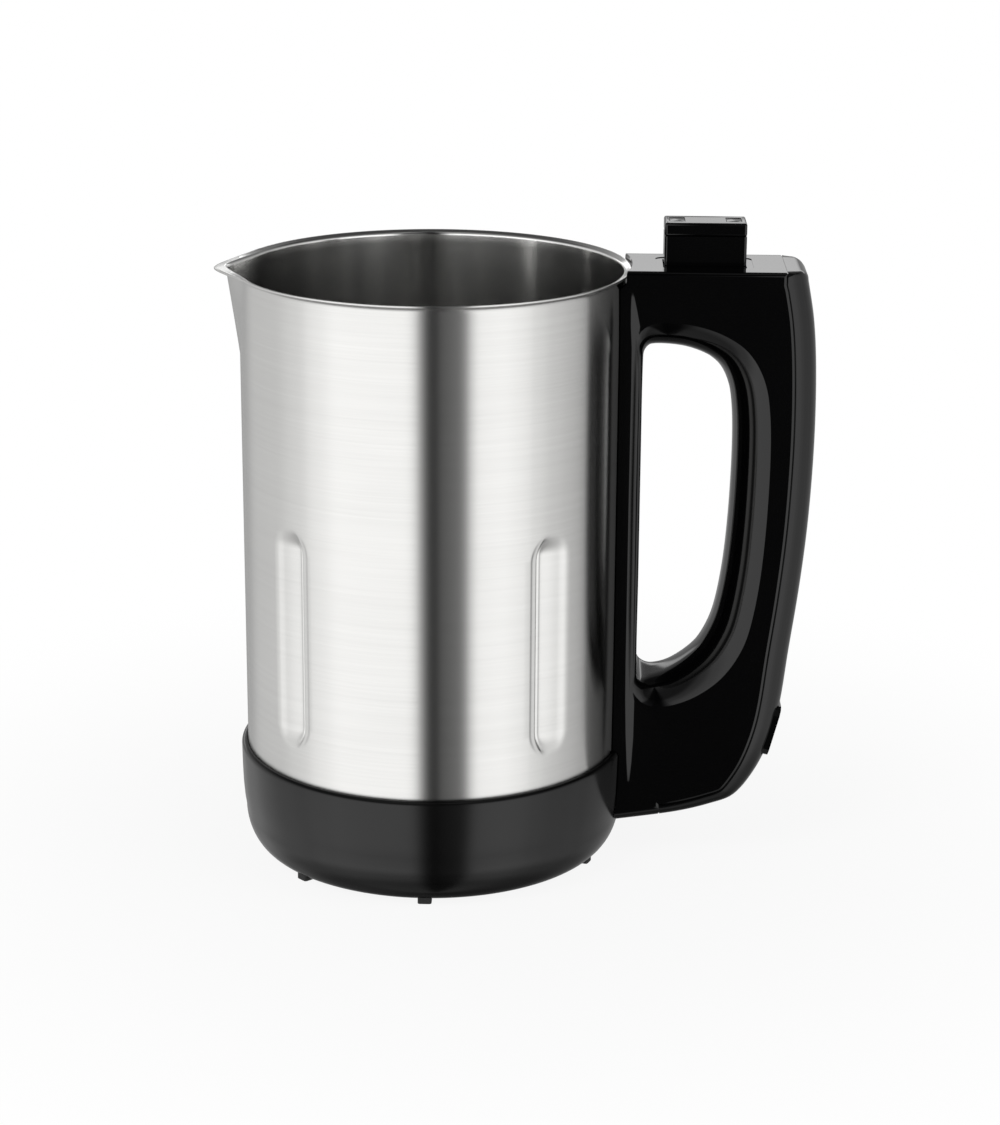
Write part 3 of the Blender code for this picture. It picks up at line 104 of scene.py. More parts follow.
# Base
BASE_TOP_Z = 42.0 * MM
BASE_R = 71.35 * MM
BASE_WALL = 2.5 * MM
BASE_DRAFT = 1.3 * MM
BASE_SHOULDER = 1.6 * MM
BASE_KNEE_Z = 17.0 * MM
BASE_KNEE_RUN = 10.5 * MM
BASE_UNDER_Z = 1.4 * MM
# Down the side: share of the draft, and share of the height between the knee and the shoulder
BASE_DRAFT_SHARES = ((0.03, 0.85), (0.1, 0.62), (0.26, 0.38), (0.6, 0.15))
BASE_STEPS = 160
FRONT_STEPS = 240
SHELF_Z = 29.4 * MM
SHELF_THICK = 2.4 * MM
GASKET_R = 60.9 * MM
FOOT_MID_R = 60.6 * MM
FOOT_SIDE = 5.0 * MM
FOOT_SEAT = 1.6 * MM
FOOT_ANGLES = tuple(math.radians(a) for a in (-137.0, -90.0, -20.5, 20.5, 90.0, 137.0))
SCREW_PITCH_R = 57.1 * MM
SCREW_HEAD_R = 3.6 * MM
SCREW_HEAD_DEPTH = 2.8 * MM
SCREW_R = 2.3 * MM
SCREW_ANGLES = tuple(math.radians(a) for a in (60.0, 180.0, -60.0))
CHANNEL_HALF = 8.0 * MM
CHANNEL_LOW_Z = 18.5 * MM
CHANNEL_HEIGHT = 8.0 * MM
CHANNEL_MID_Z = CHANNEL_LOW_Z + CHANNEL_HEIGHT / 2

# Handle
HANDLE_HALF = 18.0 * MM
HANDLE_TOP_Z = 221.4 * MM
HANDLE_DEPTH = 68.7 * MM
HANDLE_REACH = JUG_R + HANDLE_DEPTH
HANDLE_WALL = 2.5 * MM
HANDLE_TOP_WALL = 4.2 * MM
HANDLE_FRONT_X = JUG_R - 9.0 * MM
TOP_CORNER_R = 4.0 * MM
TOP_CORNER_INSET = 4.3 * MM
CORNER_PINCH_SHARE = 0.09
TOP_EDGE_R = 1.2 * MM
BACK_EDGE_R = 8.0 * MM
UNDER_EDGE_R = 5.0 * MM
SEAM_TOP_X = HANDLE_REACH - 12.4 * MM
SEAM_FOOT_RUN = 15.7 * MM
CAVITY_FRONT_RUN = 9.0 * MM
GRIP_WALL_MIN = 0.5 * MM
LIP_DROP = 2.2 * MM
# The edges' rolls leave the flat sides at this angle
EDGE_LEAN = math.radians(17.0)
# Step down to the handle's front post: (height, where the step ends, its run, its depth), all in millimetres
POST_STEP = (
    (28.0, 73.3, 0.6, -0.06), (31.0, 73.5, 0.9, 0.02), (38.0, 74.1, 1.9, 0.30), (48.0, 74.6, 2.9, 0.65),
    (62.0, 74.7, 3.4, 0.95), (76.0, 74.3, 3.1, 1.0), (95.0, 73.9, 2.7, 1.0), (140.0, 73.8, 2.6, 1.0),
    (180.0, 74.0, 2.7, 1.0), (194.0, 74.4, 3.2, 1.0), (202.0, 74.1, 3.4, 0.8), (208.0, 72.9, 2.3, 0.4),
    (212.5, 71.9, 1.2, 0.08), (215.0, 71.4, 0.6, -0.06),
)
POST_STEP_SHARES = (0.0, 0.02, 0.12, 0.5, 0.88, 0.98, 1.0)
SEAM_SLOPE_RUN = 0.95 * MM
SEAM_SLOPE_DEPTH = 0.45 * MM
# Down the slope: share of its depth, and share of its run
SEAM_SLOPE_SHARES = ((0, 1), (0.55, 0.42), (1, 0))
SEAM_SKIN = 0.35 * MM
SEAM_CLOSE = 0.04 * MM
SEAM_EXTRA = 0.12 * MM
# Outline of the handle's back and underside: shares of its depth past the jug and of its top height
BACK_SHARES = (
    (0.974, 0.917), (0.993, 0.845), (1.000, 0.750), (0.994, 0.655), (0.977, 0.560), (0.946, 0.461),
    (0.905, 0.361), (0.863, 0.257), (0.809, 0.194), (0.737, 0.146), (0.640, 0.1085), (0.509, 0.0915),
    (0.349, 0.078), (0.160, 0.068), (-0.131, 0.0552),
)
# Outline of the finger opening, and how far its edge rolls outward as shares of half the handle's width
OPENING_SHARES = (
    (0.093, 0.861), (0.105, 0.870), (0.140, 0.8738), (0.247, 0.8726), (0.342, 0.8668), (0.437, 0.8535),
    (0.502, 0.8347), (0.544, 0.804), (0.566, 0.763), (0.5735, 0.709), (0.5706, 0.637), (0.560, 0.565),
    (0.541, 0.497), (0.509, 0.434), (0.474, 0.3965), (0.415, 0.3610), (0.335, 0.3345), (0.247, 0.3158),
    (0.175, 0.3082), (0.134, 0.3082), (0.104, 0.3125), (0.091, 0.327), (0.091, 0.500), (0.091, 0.700),
)
OPENING_ROLL_SHARES = (
    0.10, 0.30, 0.51, 0.56, 0.58, 0.62, 0.68, 0.72, 0.72, 0.72, 0.72, 0.72,
    0.72, 0.72, 0.72, 0.68, 0.62, 0.54, 0.46, 0.36, 0.20, 0.08, 0.06, 0.06,
)
STATION_SHARES = (0.2, 0.42, 0.555, 0.62, 0.68, 0.735, 0.785, 0.83, 0.87, 0.905, 0.934, 0.952, 0.967,
                  0.98, 0.99, 0.997, 1.0)
HOLLOW_STATION_SHARES = (0.28, 0.6, 0.82, 0.95, 1.0)
# Steps down the back and round the top corner, and round the opening, of the handle and of its hollow
OUTLINE_STEPS = (96, 8)
HOLLOW_OUTLINE_STEPS = (28, 4)
OPENING_STEPS = 144
HOLLOW_OPENING_STEPS = 48

# Coupler and inlet
COUPLER_X = 96.8 * MM
COUPLER_LENGTH = 29.0 * MM
COUPLER_WIDTH = 15.4 * MM
COUPLER_TOP_Z = 237.0 * MM
COUPLER_WALL = 1.6 * MM
COUPLER_EDGE = 0.9 * MM
CAP_HEIGHT = 4.7 * MM
CAP_LOW_Z = COUPLER_TOP_Z - CAP_HEIGHT
CAP_EDGE = COUPLER_EDGE * 0.9
POCKET_DEPTH = 0.25 * MM
POCKET_LENGTH = 34.4 * MM
POCKET_WIDTH = 21.2 * MM
POCKET_CORNER = 3.0 * MM
FLANGE_THICK = 2.0 * MM
FLANGE_LENGTH = 34.0 * MM
FLANGE_HALF = 15.0 * MM
COUPLER_SCREW_Y = 12.8 * MM
SMALL_SCREW_R = 1.2 * MM
SLOT_LENGTH = 5.6 * MM
SLOT_WIDTH = 8.4 * MM
SLOT_RUN = 10.0 * MM
SLOT_CORNER = 0.4 * MM
SHUTTER_THICK = 1.2 * MM
SHUTTER_SET_IN = 0.06 * MM
SHUTTER_GAP = 0.18 * MM
SHUTTER_EDGE = 0.1 * MM
SHUTTER_CORNER = 0.3 * MM
INLET_SPOT = Vector((126.28 * MM, 0, 48.6 * MM))
INLET_TILT = math.radians(14.5)
INLET_WIDTH = 27.0 * MM
INLET_HEIGHT = 19.4 * MM
INLET_CORNER = 3.0 * MM
INLET_DEPTH = 20.0 * MM

# Camera, from the photograph's perspective: its place from the jug's axis, and its turns in radians
CAMERA_SPOT = Vector((50.73 * MM, -1005.83 * MM, 417.78 * MM))
CAMERA_PITCH = math.radians(17.062)
CAMERA_ROLL = 0.00578759
CAMERA_AZIMUTH = -0.0258502
CAMERA_LENS = 91.57
SENSOR_HEIGHT = 36.0


# Camera, room and lamps


def in_scene(name, data):
    obj = bpy.data.objects.new(name, data)
    bpy.context.scene.collection.objects.link(obj)
    return obj


def make_camera():
    forward = Vector((math.sin(CAMERA_AZIMUTH) * math.cos(CAMERA_PITCH),
                      math.cos(CAMERA_AZIMUTH) * math.cos(CAMERA_PITCH), -math.sin(CAMERA_PITCH)))
    level = Vector((math.cos(CAMERA_AZIMUTH), -math.sin(CAMERA_AZIMUTH), 0))
    upright = level.cross(forward)
    right = level * math.cos(CAMERA_ROLL) + upright * math.sin(CAMERA_ROLL)
    up = upright * math.cos(CAMERA_ROLL) - level * math.sin(CAMERA_ROLL)
    data = bpy.data.cameras.new("camera")
    data.sensor_fit = 'VERTICAL'
    data.sensor_height = SENSOR_HEIGHT
    data.lens = CAMERA_LENS
    camera = in_scene("camera", data)
    turn = Matrix((right, up, -forward)).transposed().to_4x4()
    camera.matrix_world = Matrix.Translation(CAMERA_SPOT + JUG_AXIS) @ turn
    bpy.context.scene.camera = camera


# Brightness of the studio round the object: degrees round from the front towards the handle, and strength.
# Bright panels stand to the front left and right, with a dark gap between them
STUDIO_BANDS = (
    (-180, 0.35), (-150, 0.48), (-128, 0.76), (-106, 0.82), (-86, 1.02), (-68, 1.36), (-56, 1.55),
    (-12, 1.55), (-8, 1.30), (-4.5, 0.52), (-1.5, 0.14), (0.5, 0.04), (5, 0.04), (8, 0.15), (18, 0.21),
    (22, 0.32), (26, 1.05), (30, 1.49), (46, 1.54), (56, 1.43), (68, 1.13), (80, 0.90), (94, 0.74),
    (108, 0.56), (130, 0.46), (150, 0.40), (180, 0.35),
)
# How much of it shows at each elevation in degrees, fading high up and near the ground
STUDIO_HEIGHTS = (
    (-90, 0.22), (-60, 0.26), (-44, 0.55), (-30, 1.0), (4, 1.0), (18, 0.8), (30, 0.45), (42, 0.14),
    (60, 0.15), (90, 0.30),
)
# A bright card behind the object, which its level tops reflect
CARD_STRENGTH = 1.13
CARD_FACING = (0.72, 0.86)
CARD_LOW = (0.11, 0.205)
CARD_HIGH = (0.235, 0.29)
WHITE = (1, 1, 1, 1)


def new_node(tree, kind, **values):
    """A shader node of this kind, with these values in its inputs."""
    node = tree.nodes.new("ShaderNode" + kind)
    for name, value in values.items():
        node.inputs[name.replace("_", " ")].default_value = value
    return node


def math_node(tree, operation, *values):
    node = new_node(tree, "Math")
    node.operation = operation
    for socket, value in zip(node.inputs, values):
        if isinstance(value, bpy.types.NodeSocket):
            tree.links.new(value, socket)
        else:
            socket.default_value = value
    return node.outputs[0]


def level_ramp(tree, share, stops, low, high):
    """A soft ramp through (place, level) stops, read at share of the way from low to high."""
    ramp = new_node(tree, "ValToRGB")
    ramp.color_ramp.interpolation = 'EASE'
    elements = ramp.color_ramp.elements
    top = max(level for _, level in stops)
    for k, (where, level) in enumerate(stops):
        position = (where - low) / (high - low)
        stop = elements[k] if k < 2 else elements.new(position)
        stop.position = position
        stop.color = (level / top, level / top, level / top, 1)
    tree.links.new(share, ramp.inputs[0])
    return math_node(tree, 'MULTIPLY', ramp.outputs[0], top)


def soft_step(tree, value, low, high, start=0):
    """A smooth step from start to 1 while the value goes from low to high."""
    node = new_node(tree, "MapRange", From_Min=low, From_Max=high, To_Min=start)
    node.interpolation_type = 'SMOOTHSTEP'
    tree.links.new(value, node.inputs["Value"])
    return node.outputs[0]


def mixed(tree, share, first, second):
    """The first shader where share is 0, the second where it is 1."""
    mix = new_node(tree, "MixShader")
    for k, output in enumerate((share, first.outputs[0], second.outputs[0])):
        tree.links.new(output, mix.inputs[k])
    return mix.outputs[0]


def make_world():
    world = bpy.data.worlds.new("studio")
    bpy.context.scene.world = world
    world.use_nodes = True
    tree = world.node_tree
    tree.nodes.clear()
    parts = new_node(tree, "SeparateXYZ")
    tree.links.new(new_node(tree, "TexCoord").outputs["Generated"], parts.inputs[0])
    x, y, z = parts.outputs
    around = math_node(tree, 'ARCTAN2', x, math_node(tree, 'MULTIPLY', y, -1.0))
    share = math_node(tree, 'MULTIPLY_ADD', around, 0.5 / math.pi, 0.5)
    bands = level_ramp(tree, share, STUDIO_BANDS, -180, 180)
    up_share = math_node(tree, 'MULTIPLY_ADD', math_node(tree, 'ARCSINE', z), 1 / math.pi, 0.5)
    heights = level_ramp(tree, up_share, STUDIO_HEIGHTS, -90, 90)
    level = math_node(tree, 'MULTIPLY', bands, heights)
    card = math_node(tree, 'MULTIPLY', soft_step(tree, y, *CARD_FACING), soft_step(tree, z, *CARD_LOW))
    card = math_node(tree, 'MULTIPLY', card, soft_step(tree, z, *reversed(CARD_HIGH)))
    level = math_node(tree, 'MULTIPLY_ADD', card, CARD_STRENGTH, level)
    lit = new_node(tree, "Background", Color=WHITE)
    tree.links.new(level, lit.inputs["Strength"])
    backdrop = new_node(tree, "Background", Color=WHITE, Strength=1)
    seen = new_node(tree, "LightPath").outputs["Is Camera Ray"]
    tree.links.new(mixed(tree, seen, lit, backdrop), new_node(tree, "OutputWorld").inputs[0])


# The floor takes a soft shadow near the object and fades to the background's white
FLOOR_R = 0.6
FLOOR_FADE_IN = 0.06
FLOOR_FADE_OUT = 0.34
FLOOR_WHITE_SHARE = 0.9
FLOOR_TONE = 0.86


def floor_card():
    mat, tree, out = blank_material("floor_card")
    card = new_node(tree, "BsdfDiffuse", Color=(FLOOR_TONE, FLOOR_TONE, FLOOR_TONE, 1))
    glow = new_node(tree, "Emission", Color=WHITE)
    far = new_node(tree, "VectorMath")
    far.operation = 'LENGTH'
    tree.links.new(new_node(tree, "TexCoord").outputs["Object"], far.inputs[0])
    fade = soft_step(tree, far.outputs["Value"], FLOOR_FADE_IN, FLOOR_FADE_OUT, FLOOR_WHITE_SHARE)
    seen = new_node(tree, "LightPath").outputs["Is Camera Ray"]
    tree.links.new(mixed(tree, math_node(tree, 'MULTIPLY', fade, seen), card, glow), out.inputs[0])
    return mat


def make_floor():
    bm = bmesh.new()
    bmesh.ops.create_circle(bm, cap_ends=True, segments=96, radius=FLOOR_R)
    floor = make_object("floor", bm)
    floor.data.materials.append(floor_card())
    floor.visible_glossy = False


# Two soft lamps, discs of one size: name, place in metres and power in watts
LAMPS = (("key_lamp", (-0.9, -1.1, 1.5), 9.0), ("fill_lamp", (1.2, -0.6, 1.1), 5.0))
LAMP_SIZE = 0.9


def make_lamp(name, spot, power):
    data = bpy.data.lights.new(name, 'AREA')
    data.shape = 'DISK'
    data.size = LAMP_SIZE
    data.energy = power
    lamp = in_scene(name, data)
    lamp.location = spot
    lamp.rotation_euler = (-Vector(spot)).to_track_quat('-Z', 'Y').to_euler()
    lamp.visible_glossy = False


# Materials


def blank_material(name):
    mat = bpy.data.materials.new(name)
    mat.use_nodes = True
    tree = mat.node_tree
    tree.nodes.clear()
    return mat, tree, new_node(tree, "OutputMaterial")


def new_group(name, outputs, **numbers):
    """A node group with the named outputs, and these numbers as its inputs."""
    tree = bpy.data.node_groups.new(name, 'ShaderNodeTree')
    for label, value in numbers.items():
        socket = tree.interface.new_socket(label, in_out='INPUT', socket_type='NodeSocketFloat')
        socket.default_value = value
    for label in outputs:
        tree.interface.new_socket(label, in_out='OUTPUT', socket_type='NodeSocketFloat')
    return tree, tree.nodes.new("NodeGroupInput"), tree.nodes.new("NodeGroupOutput")


def noise(tree, vector, scale, detail=2.0, rough=0.5):
    node = new_node(tree, "TexNoise", Scale=scale, Detail=detail, Roughness=rough)
    tree.links.new(vector, node.inputs["Vector"])
    return node.outputs["Fac"]


def object_spot(tree, scale=(1, 1, 1)):
    mapping = new_node(tree, "Mapping", Scale=scale)
    tree.links.new(new_node(tree, "TexCoord").outputs["Object"], mapping.inputs["Vector"])
    return mapping.outputs[0]


def make_brushing():
    """Lines of a belt that ran level round the piece: a height for bump, and a tone that follows."""
    tree, given, result = new_group("brushing", ("Height", "Tone"), Fine=0.6, Broad=0.4)
    fine = noise(tree, object_spot(tree, (14, 14, 2600)), 1.0, detail=3.0, rough=0.65)
    broad = noise(tree, object_spot(tree, (7, 7, 520)), 1.0, rough=0.6)
    height = math_node(tree, 'ADD', math_node(tree, 'MULTIPLY', fine, given.outputs["Fine"]),
                       math_node(tree, 'MULTIPLY', broad, given.outputs["Broad"]))
    tree.links.new(height, result.inputs["Height"])
    patch = noise(tree, object_spot(tree, (16, 16, 40)), 1.0)
    tone = math_node(tree, 'MULTIPLY_ADD', patch, 0.3, math_node(tree, 'MULTIPLY', height, 0.7))
    tree.links.new(tone, result.inputs["Tone"])
    return tree


def make_moulding():
    """Moulded plastic: a faint ripple of the mould for bump, and a haze of fine wear and dust."""
    tree, given, result = new_group("moulding", ("Height", "Haze"), Ripple=0.5, Dust=0.5)
    ripple = noise(tree, object_spot(tree), 260.0)
    grain = noise(tree, object_spot(tree), 2400.0, rough=0.6)
    low = math_node(tree, 'MULTIPLY', ripple, given.outputs["Ripple"])
    tree.links.new(math_node(tree, 'MULTIPLY_ADD', grain, 0.12, low), result.inputs["Height"])
    patch = noise(tree, object_spot(tree), 38.0, detail=4.0, rough=0.6)
    speck = noise(tree, object_spot(tree), 900.0, detail=1.0)
    wear = math_node(tree, 'MULTIPLY_ADD', math_node(tree, 'POWER', speck, 6.0), 2.0, patch)
    haze = math_node(tree, 'MULTIPLY', wear, given.outputs["Dust"])
    tree.links.new(haze, result.inputs["Haze"])
    return tree


def make_metal_grain():
    """Plated, cast or drawn metal: grain for bump and a patchy tone."""
    tree, given, result = new_group("metal_grain", ("Height", "Tone"), Grain=900.0, Patch=60.0)
    grain, patch = new_node(tree, "TexNoise"), new_node(tree, "TexNoise")
    spot = object_spot(tree)
    for node, name in ((grain, "Grain"), (patch, "Patch")):
        tree.links.new(spot, node.inputs["Vector"])
        tree.links.new(given.outputs[name], node.inputs["Scale"])
    tree.links.new(grain.outputs["Fac"], result.inputs["Height"])
    fine = math_node(tree, 'MULTIPLY', grain.outputs["Fac"], 0.3)
    tree.links.new(math_node(tree, 'MULTIPLY_ADD', patch.outputs["Fac"], 0.7, fine), result.inputs["Tone"])
    return tree


BRUSHING = make_brushing()
MOULDING = make_moulding()
METAL_GRAIN = make_metal_grain()


def add_group(tree, group, **values):
    node = tree.nodes.new("ShaderNodeGroup")
    node.node_tree = group
    for name, value in values.items():
        node.inputs[name].default_value = value
    return node.outputs


def shade(tree, out, **values):
    shader = new_node(tree, "BsdfPrincipled", **values)
    tree.links.new(shader.outputs[0], out.inputs[0])
    return shader


def spread(tree, value, low, high):
    """A 0 to 1 value spread between two numbers, or between two colours."""
    if isinstance(low, tuple):
        node = new_node(tree, "Mix")
        node.data_type = 'RGBA'
        node.inputs[6].default_value = (*low, 1)
        node.inputs[7].default_value = (*high, 1)
        tree.links.new(value, node.inputs[0])
        return node.outputs[2]
    node = new_node(tree, "MapRange", To_Min=low, To_Max=high)
    tree.links.new(value, node.inputs["Value"])
    return node.outputs[0]


def add_bump(tree, shader, height, strength, distance):
    bump = new_node(tree, "Bump", Strength=strength, Distance=distance)
    tree.links.new(height, bump.inputs["Height"])
    tree.links.new(bump.outputs[0], shader.inputs["Normal"])


# Tones and roughness of the steel between the brushing's troughs and crests; the inside tones are lighter,
# painted light that brightens the jug's inside
STEEL_OUTER = ((0.585, 0.582, 0.57), (0.695, 0.692, 0.68))
STEEL_INSIDE_PAINTED_LIGHT = ((0.80, 0.797, 0.785), (0.86, 0.857, 0.845))
STEEL_ROUGH = (0.28, 0.20)
# A face is inside where its place times its normal, both level, is under this; its roughness shrinks to this
INSIDE_LIMIT = 0.5 * MM
INSIDE_FINE = 0.57


def make_steel():
    """Steel brushed round the jug, finer where it faces the axis, and lighter there as painted light that
    brightens the inside.
    """
    mat, tree, out = blank_material("brushed_jug_steel")
    facing = new_node(tree, "VectorMath")
    facing.operation = 'DOT_PRODUCT'
    tree.links.new(object_spot(tree, (1, 1, 0)), facing.inputs[0])
    tree.links.new(new_node(tree, "NewGeometry").outputs["Normal"], facing.inputs[1])
    inside = math_node(tree, 'LESS_THAN', facing.outputs["Value"], INSIDE_LIMIT)
    lines = add_group(tree, BRUSHING, Fine=0.6, Broad=0.4)
    shader = shade(tree, out, Metallic=1.0, Anisotropic=0.95, Anisotropic_Rotation=0.25)
    tangent = new_node(tree, "Tangent")
    tangent.direction_type = 'RADIAL'
    tangent.axis = 'Z'
    tree.links.new(tangent.outputs[0], shader.inputs["Tangent"])
    outer_tone = spread(tree, lines["Tone"], *STEEL_OUTER)
    # The inside's lighter tone is painted light: it brightens the jug's inside as if more light reached it
    inside_painted_light_tone = spread(tree, lines["Tone"], *STEEL_INSIDE_PAINTED_LIGHT)
    tone = new_node(tree, "Mix")
    tone.data_type = 'VECTOR'
    for k, value in ((0, inside), (4, outer_tone), (5, inside_painted_light_tone)):
        tree.links.new(value, tone.inputs[k])
    tree.links.new(tone.outputs[1], shader.inputs["Base Color"])
    finer = math_node(tree, 'MULTIPLY_ADD', inside, INSIDE_FINE - 1, 1.0)
    rough = math_node(tree, 'MULTIPLY', spread(tree, lines["Tone"], *STEEL_ROUGH), finer)
    tree.links.new(rough, shader.inputs["Roughness"])
    add_bump(tree, shader, lines["Height"], strength=0.34, distance=0.02 * MM)
    return mat


def scaled(colour, *shares):
    return [tuple(min(1, c * share) for c in colour) for share in shares]


def surface(tree, shader, value, tones, roughs):
    """Colour and roughness of a shader, each spread by the same value."""
    tree.links.new(spread(tree, value, *tones), shader.inputs["Base Color"])
    tree.links.new(spread(tree, value, *roughs), shader.inputs["Roughness"])


def make_gloss_black(name, colour, low, high):
    mat, tree, out = blank_material(name)
    mould = add_group(tree, MOULDING, Ripple=0.5, Dust=0.5)
    shader = shade(tree, out, IOR=1.42)
    surface(tree, shader, mould["Haze"], scaled(colour, 1, 1.7), (low, high))
    add_bump(tree, shader, mould["Height"], strength=0.12, distance=0.05 * MM)
    return mat


def make_matt(name, colour, rough):
    mat, tree, out = blank_material(name)
    mould = add_group(tree, MOULDING, Ripple=0.8, Dust=1.0)
    shader = shade(tree, out, IOR=1.47)
    surface(tree, shader, mould["Haze"], scaled(colour, 0.85, 1.2), (rough - 0.08, rough + 0.08))
    add_bump(tree, shader, mould["Height"], strength=0.25, distance=0.12 * MM)
    return mat


def make_metal(name, colour, rough, grain, bump):
    mat, tree, out = blank_material(name)
    metal = add_group(tree, METAL_GRAIN, Grain=grain, Patch=60.0)
    shader = shade(tree, out, Metallic=1.0)
    surface(tree, shader, metal["Tone"], scaled(colour, 0.8, 1.15), (rough - 0.08, rough + 0.1))
    add_bump(tree, shader, metal["Height"], strength=bump, distance=0.1 * MM)
    return mat


def make_finishes():
    """One material for each of the record's slots."""
    return {
        "jug_steel": make_steel(),
        "handle_black": make_gloss_black("handle_gloss_black", (0.001, 0.001, 0.0011), 0.05, 0.12),
        "base_black": make_gloss_black("base_gloss_black", (0.002, 0.002, 0.002), 0.15, 0.21),
        "feet_rubber": make_matt("foot_rubber", (0.022, 0.022, 0.022), 0.72),
        "seal_rubber": make_matt("seal_silicone", (0.30, 0.29, 0.28), 0.55),
        "zinc_steel": make_metal("zinc_plate", (0.62, 0.63, 0.65), 0.36, 1500.0, 0.15),
        "heater_aluminium": make_metal("cast_aluminium", (0.78, 0.78, 0.79), 0.45, 700.0, 0.4),
        "element_sheath": make_metal("element_sheath", (0.26, 0.24, 0.23), 0.48, 900.0, 0.3),
        "contact_brass": make_metal("contact_brass", (0.78, 0.57, 0.27), 0.3, 1800.0, 0.1),
        "tinned_pins": make_metal("tinned_pin", (0.74, 0.74, 0.72), 0.3, 1800.0, 0.1),
        "insulator_grey": make_matt("insulator_grey", (0.09, 0.09, 0.095), 0.5),
        "fuse_sleeve": make_matt("fuse_sleeve", (0.72, 0.70, 0.65), 0.6),
        "lead_white": make_matt("lead_white", (0.68, 0.67, 0.64), 0.45),
        "lead_blue": make_matt("lead_blue", (0.05, 0.12, 0.40), 0.45),
        "lead_green": make_matt("lead_green", (0.10, 0.35, 0.08), 0.45),
        "lead_red": make_matt("lead_red", (0.50, 0.04, 0.03), 0.45),
    }


# Mesh helpers


def make_object(name, bm):
    mesh = bpy.data.meshes.new(name)
    bm.to_mesh(mesh)
    bm.free()
    return in_scene(name, mesh)


def make_solid(name, bm):
    """An object with its doubled points merged and all its faces outward."""
    bmesh.ops.remove_doubles(bm, verts=bm.verts, dist=MERGE)
    bmesh.ops.recalc_face_normals(bm, faces=bm.faces)
    return make_object(name, bm)


def turned(name, profile, steps):
    """A (radius, height) profile turned round the jug's axis, from axis to axis or closed on itself."""
    bm = bmesh.new()
    verts = [bm.verts.new((r, 0, z)) for r, z in profile]
    pairs = list(zip(verts, verts[1:]))
    if profile[0][0] > 0:
        pairs.append((verts[-1], verts[0]))
    edges = [bm.edges.new(pair) for pair in pairs]
    bmesh.ops.spin(bm, geom=verts + edges, cent=(0, 0, 0), axis=(0, 0, 1), angle=2 * math.pi,
                   steps=steps, use_merge=True)
    return make_solid(name, bm)


def place(bm, centre, turn=None):
    if turn is not None:
        bmesh.ops.transform(bm, matrix=turn, verts=bm.verts)
    bmesh.ops.translate(bm, vec=Vector(centre), verts=bm.verts)


def block(name, size, centre, corner=0, turn=None, edge=0, steps=4):
    """A box with its corners along Z rounded by corner, and the edges of its two ends by edge."""
    bm = bmesh.new()
    bmesh.ops.create_cube(bm, size=1)
    bmesh.ops.scale(bm, vec=Vector(size), verts=bm.verts)
    if corner:
        upright = [e for e in bm.edges if abs((e.verts[0].co - e.verts[1].co).z) > MERGE]
        bmesh.ops.bevel(bm, geom=upright, offset=corner, segments=steps, profile=0.5, affect='EDGES')
    if edge:
        rims = [e for e in bm.edges if abs((e.verts[0].co - e.verts[1].co).z) < MERGE
                and all(abs(abs(v.co.z) - size[2] / 2) < MERGE for v in e.verts)
                and len(e.link_faces) == 2 and e.calc_face_angle() > 0.5]
        bmesh.ops.bevel(bm, geom=rims, offset=edge, segments=steps, profile=0.5, affect='EDGES')
    place(bm, centre, turn)
    return make_solid(name, bm)


def rod(name, radius, length, centre):
    bm = bmesh.new()
    bmesh.ops.create_cone(bm, cap_ends=True, segments=32, radius1=radius, radius2=radius, depth=length)
    place(bm, centre)
    return make_solid(name, bm)


def lofted(name, rings):
    """A closed solid through rings of equally many points, with a cap on each end."""
    bm = bmesh.new()
    rows = [[bm.verts.new(p) for p in ring] for ring in rings]
    count = len(rings[0])
    for low, high in zip(rows, rows[1:]):
        for i in range(count):
            j = (i + 1) % count
            bm.faces.new((low[i], low[j], high[j], high[i]))
    bm.faces.new(rows[0])
    bm.faces.new(rows[-1])
    return make_solid(name, bm)


def combine(obj, cutters, operation='DIFFERENCE'):
    """Booleans applied to the mesh one after the other; the cutters stay."""
    for cutter in cutters:
        step = obj.modifiers.new("cut", 'BOOLEAN')
        step.operation = operation
        step.solver = 'EXACT'
        step.object = cutter
        scene = bpy.context.evaluated_depsgraph_get()
        mesh = bpy.data.meshes.new_from_object(obj.evaluated_get(scene))
        obj.modifiers.clear()
        obj.data = mesh


def drop(*objs):
    for obj in objs:
        bpy.data.objects.remove(obj)


def crisp_flats(mesh):
    """Large flat faces keep their own normals, so that a slight crease beside one shows."""
    bm = bmesh.new()
    bm.from_mesh(mesh)
    for face in bm.faces:
        if face.calc_area() > FLAT_AREA:
            for e in face.edges:
                if len(e.link_faces) == 2 and e.calc_face_angle() > FLAT_ANGLE:
                    e.smooth = False
    bm.to_mesh(mesh)
    bm.free()


def dress(obj, slot, nodes, sharp=32.0):
    """A finished piece: moved to the part's frame, shaded, with its slot's finish, and on the body."""
    mesh = obj.data
    mesh.transform(Matrix.Translation(JUG_AXIS))
    mesh.materials.clear()
    mesh.materials.append(FINISHES[slot])
    mesh.shade_smooth()
    mesh.set_sharp_from_angle(angle=math.radians(sharp))
    crisp_flats(mesh)
    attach(obj, "root")
    if nodes:
        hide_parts(*nodes)


def round_spot(radius, angle, z):
    return (radius * math.cos(angle), radius * math.sin(angle), z)


def arc(count):
    """Even angles from 0 to 90 degrees."""
    return [math.radians(90 * k / count) for k in range(count + 1)]


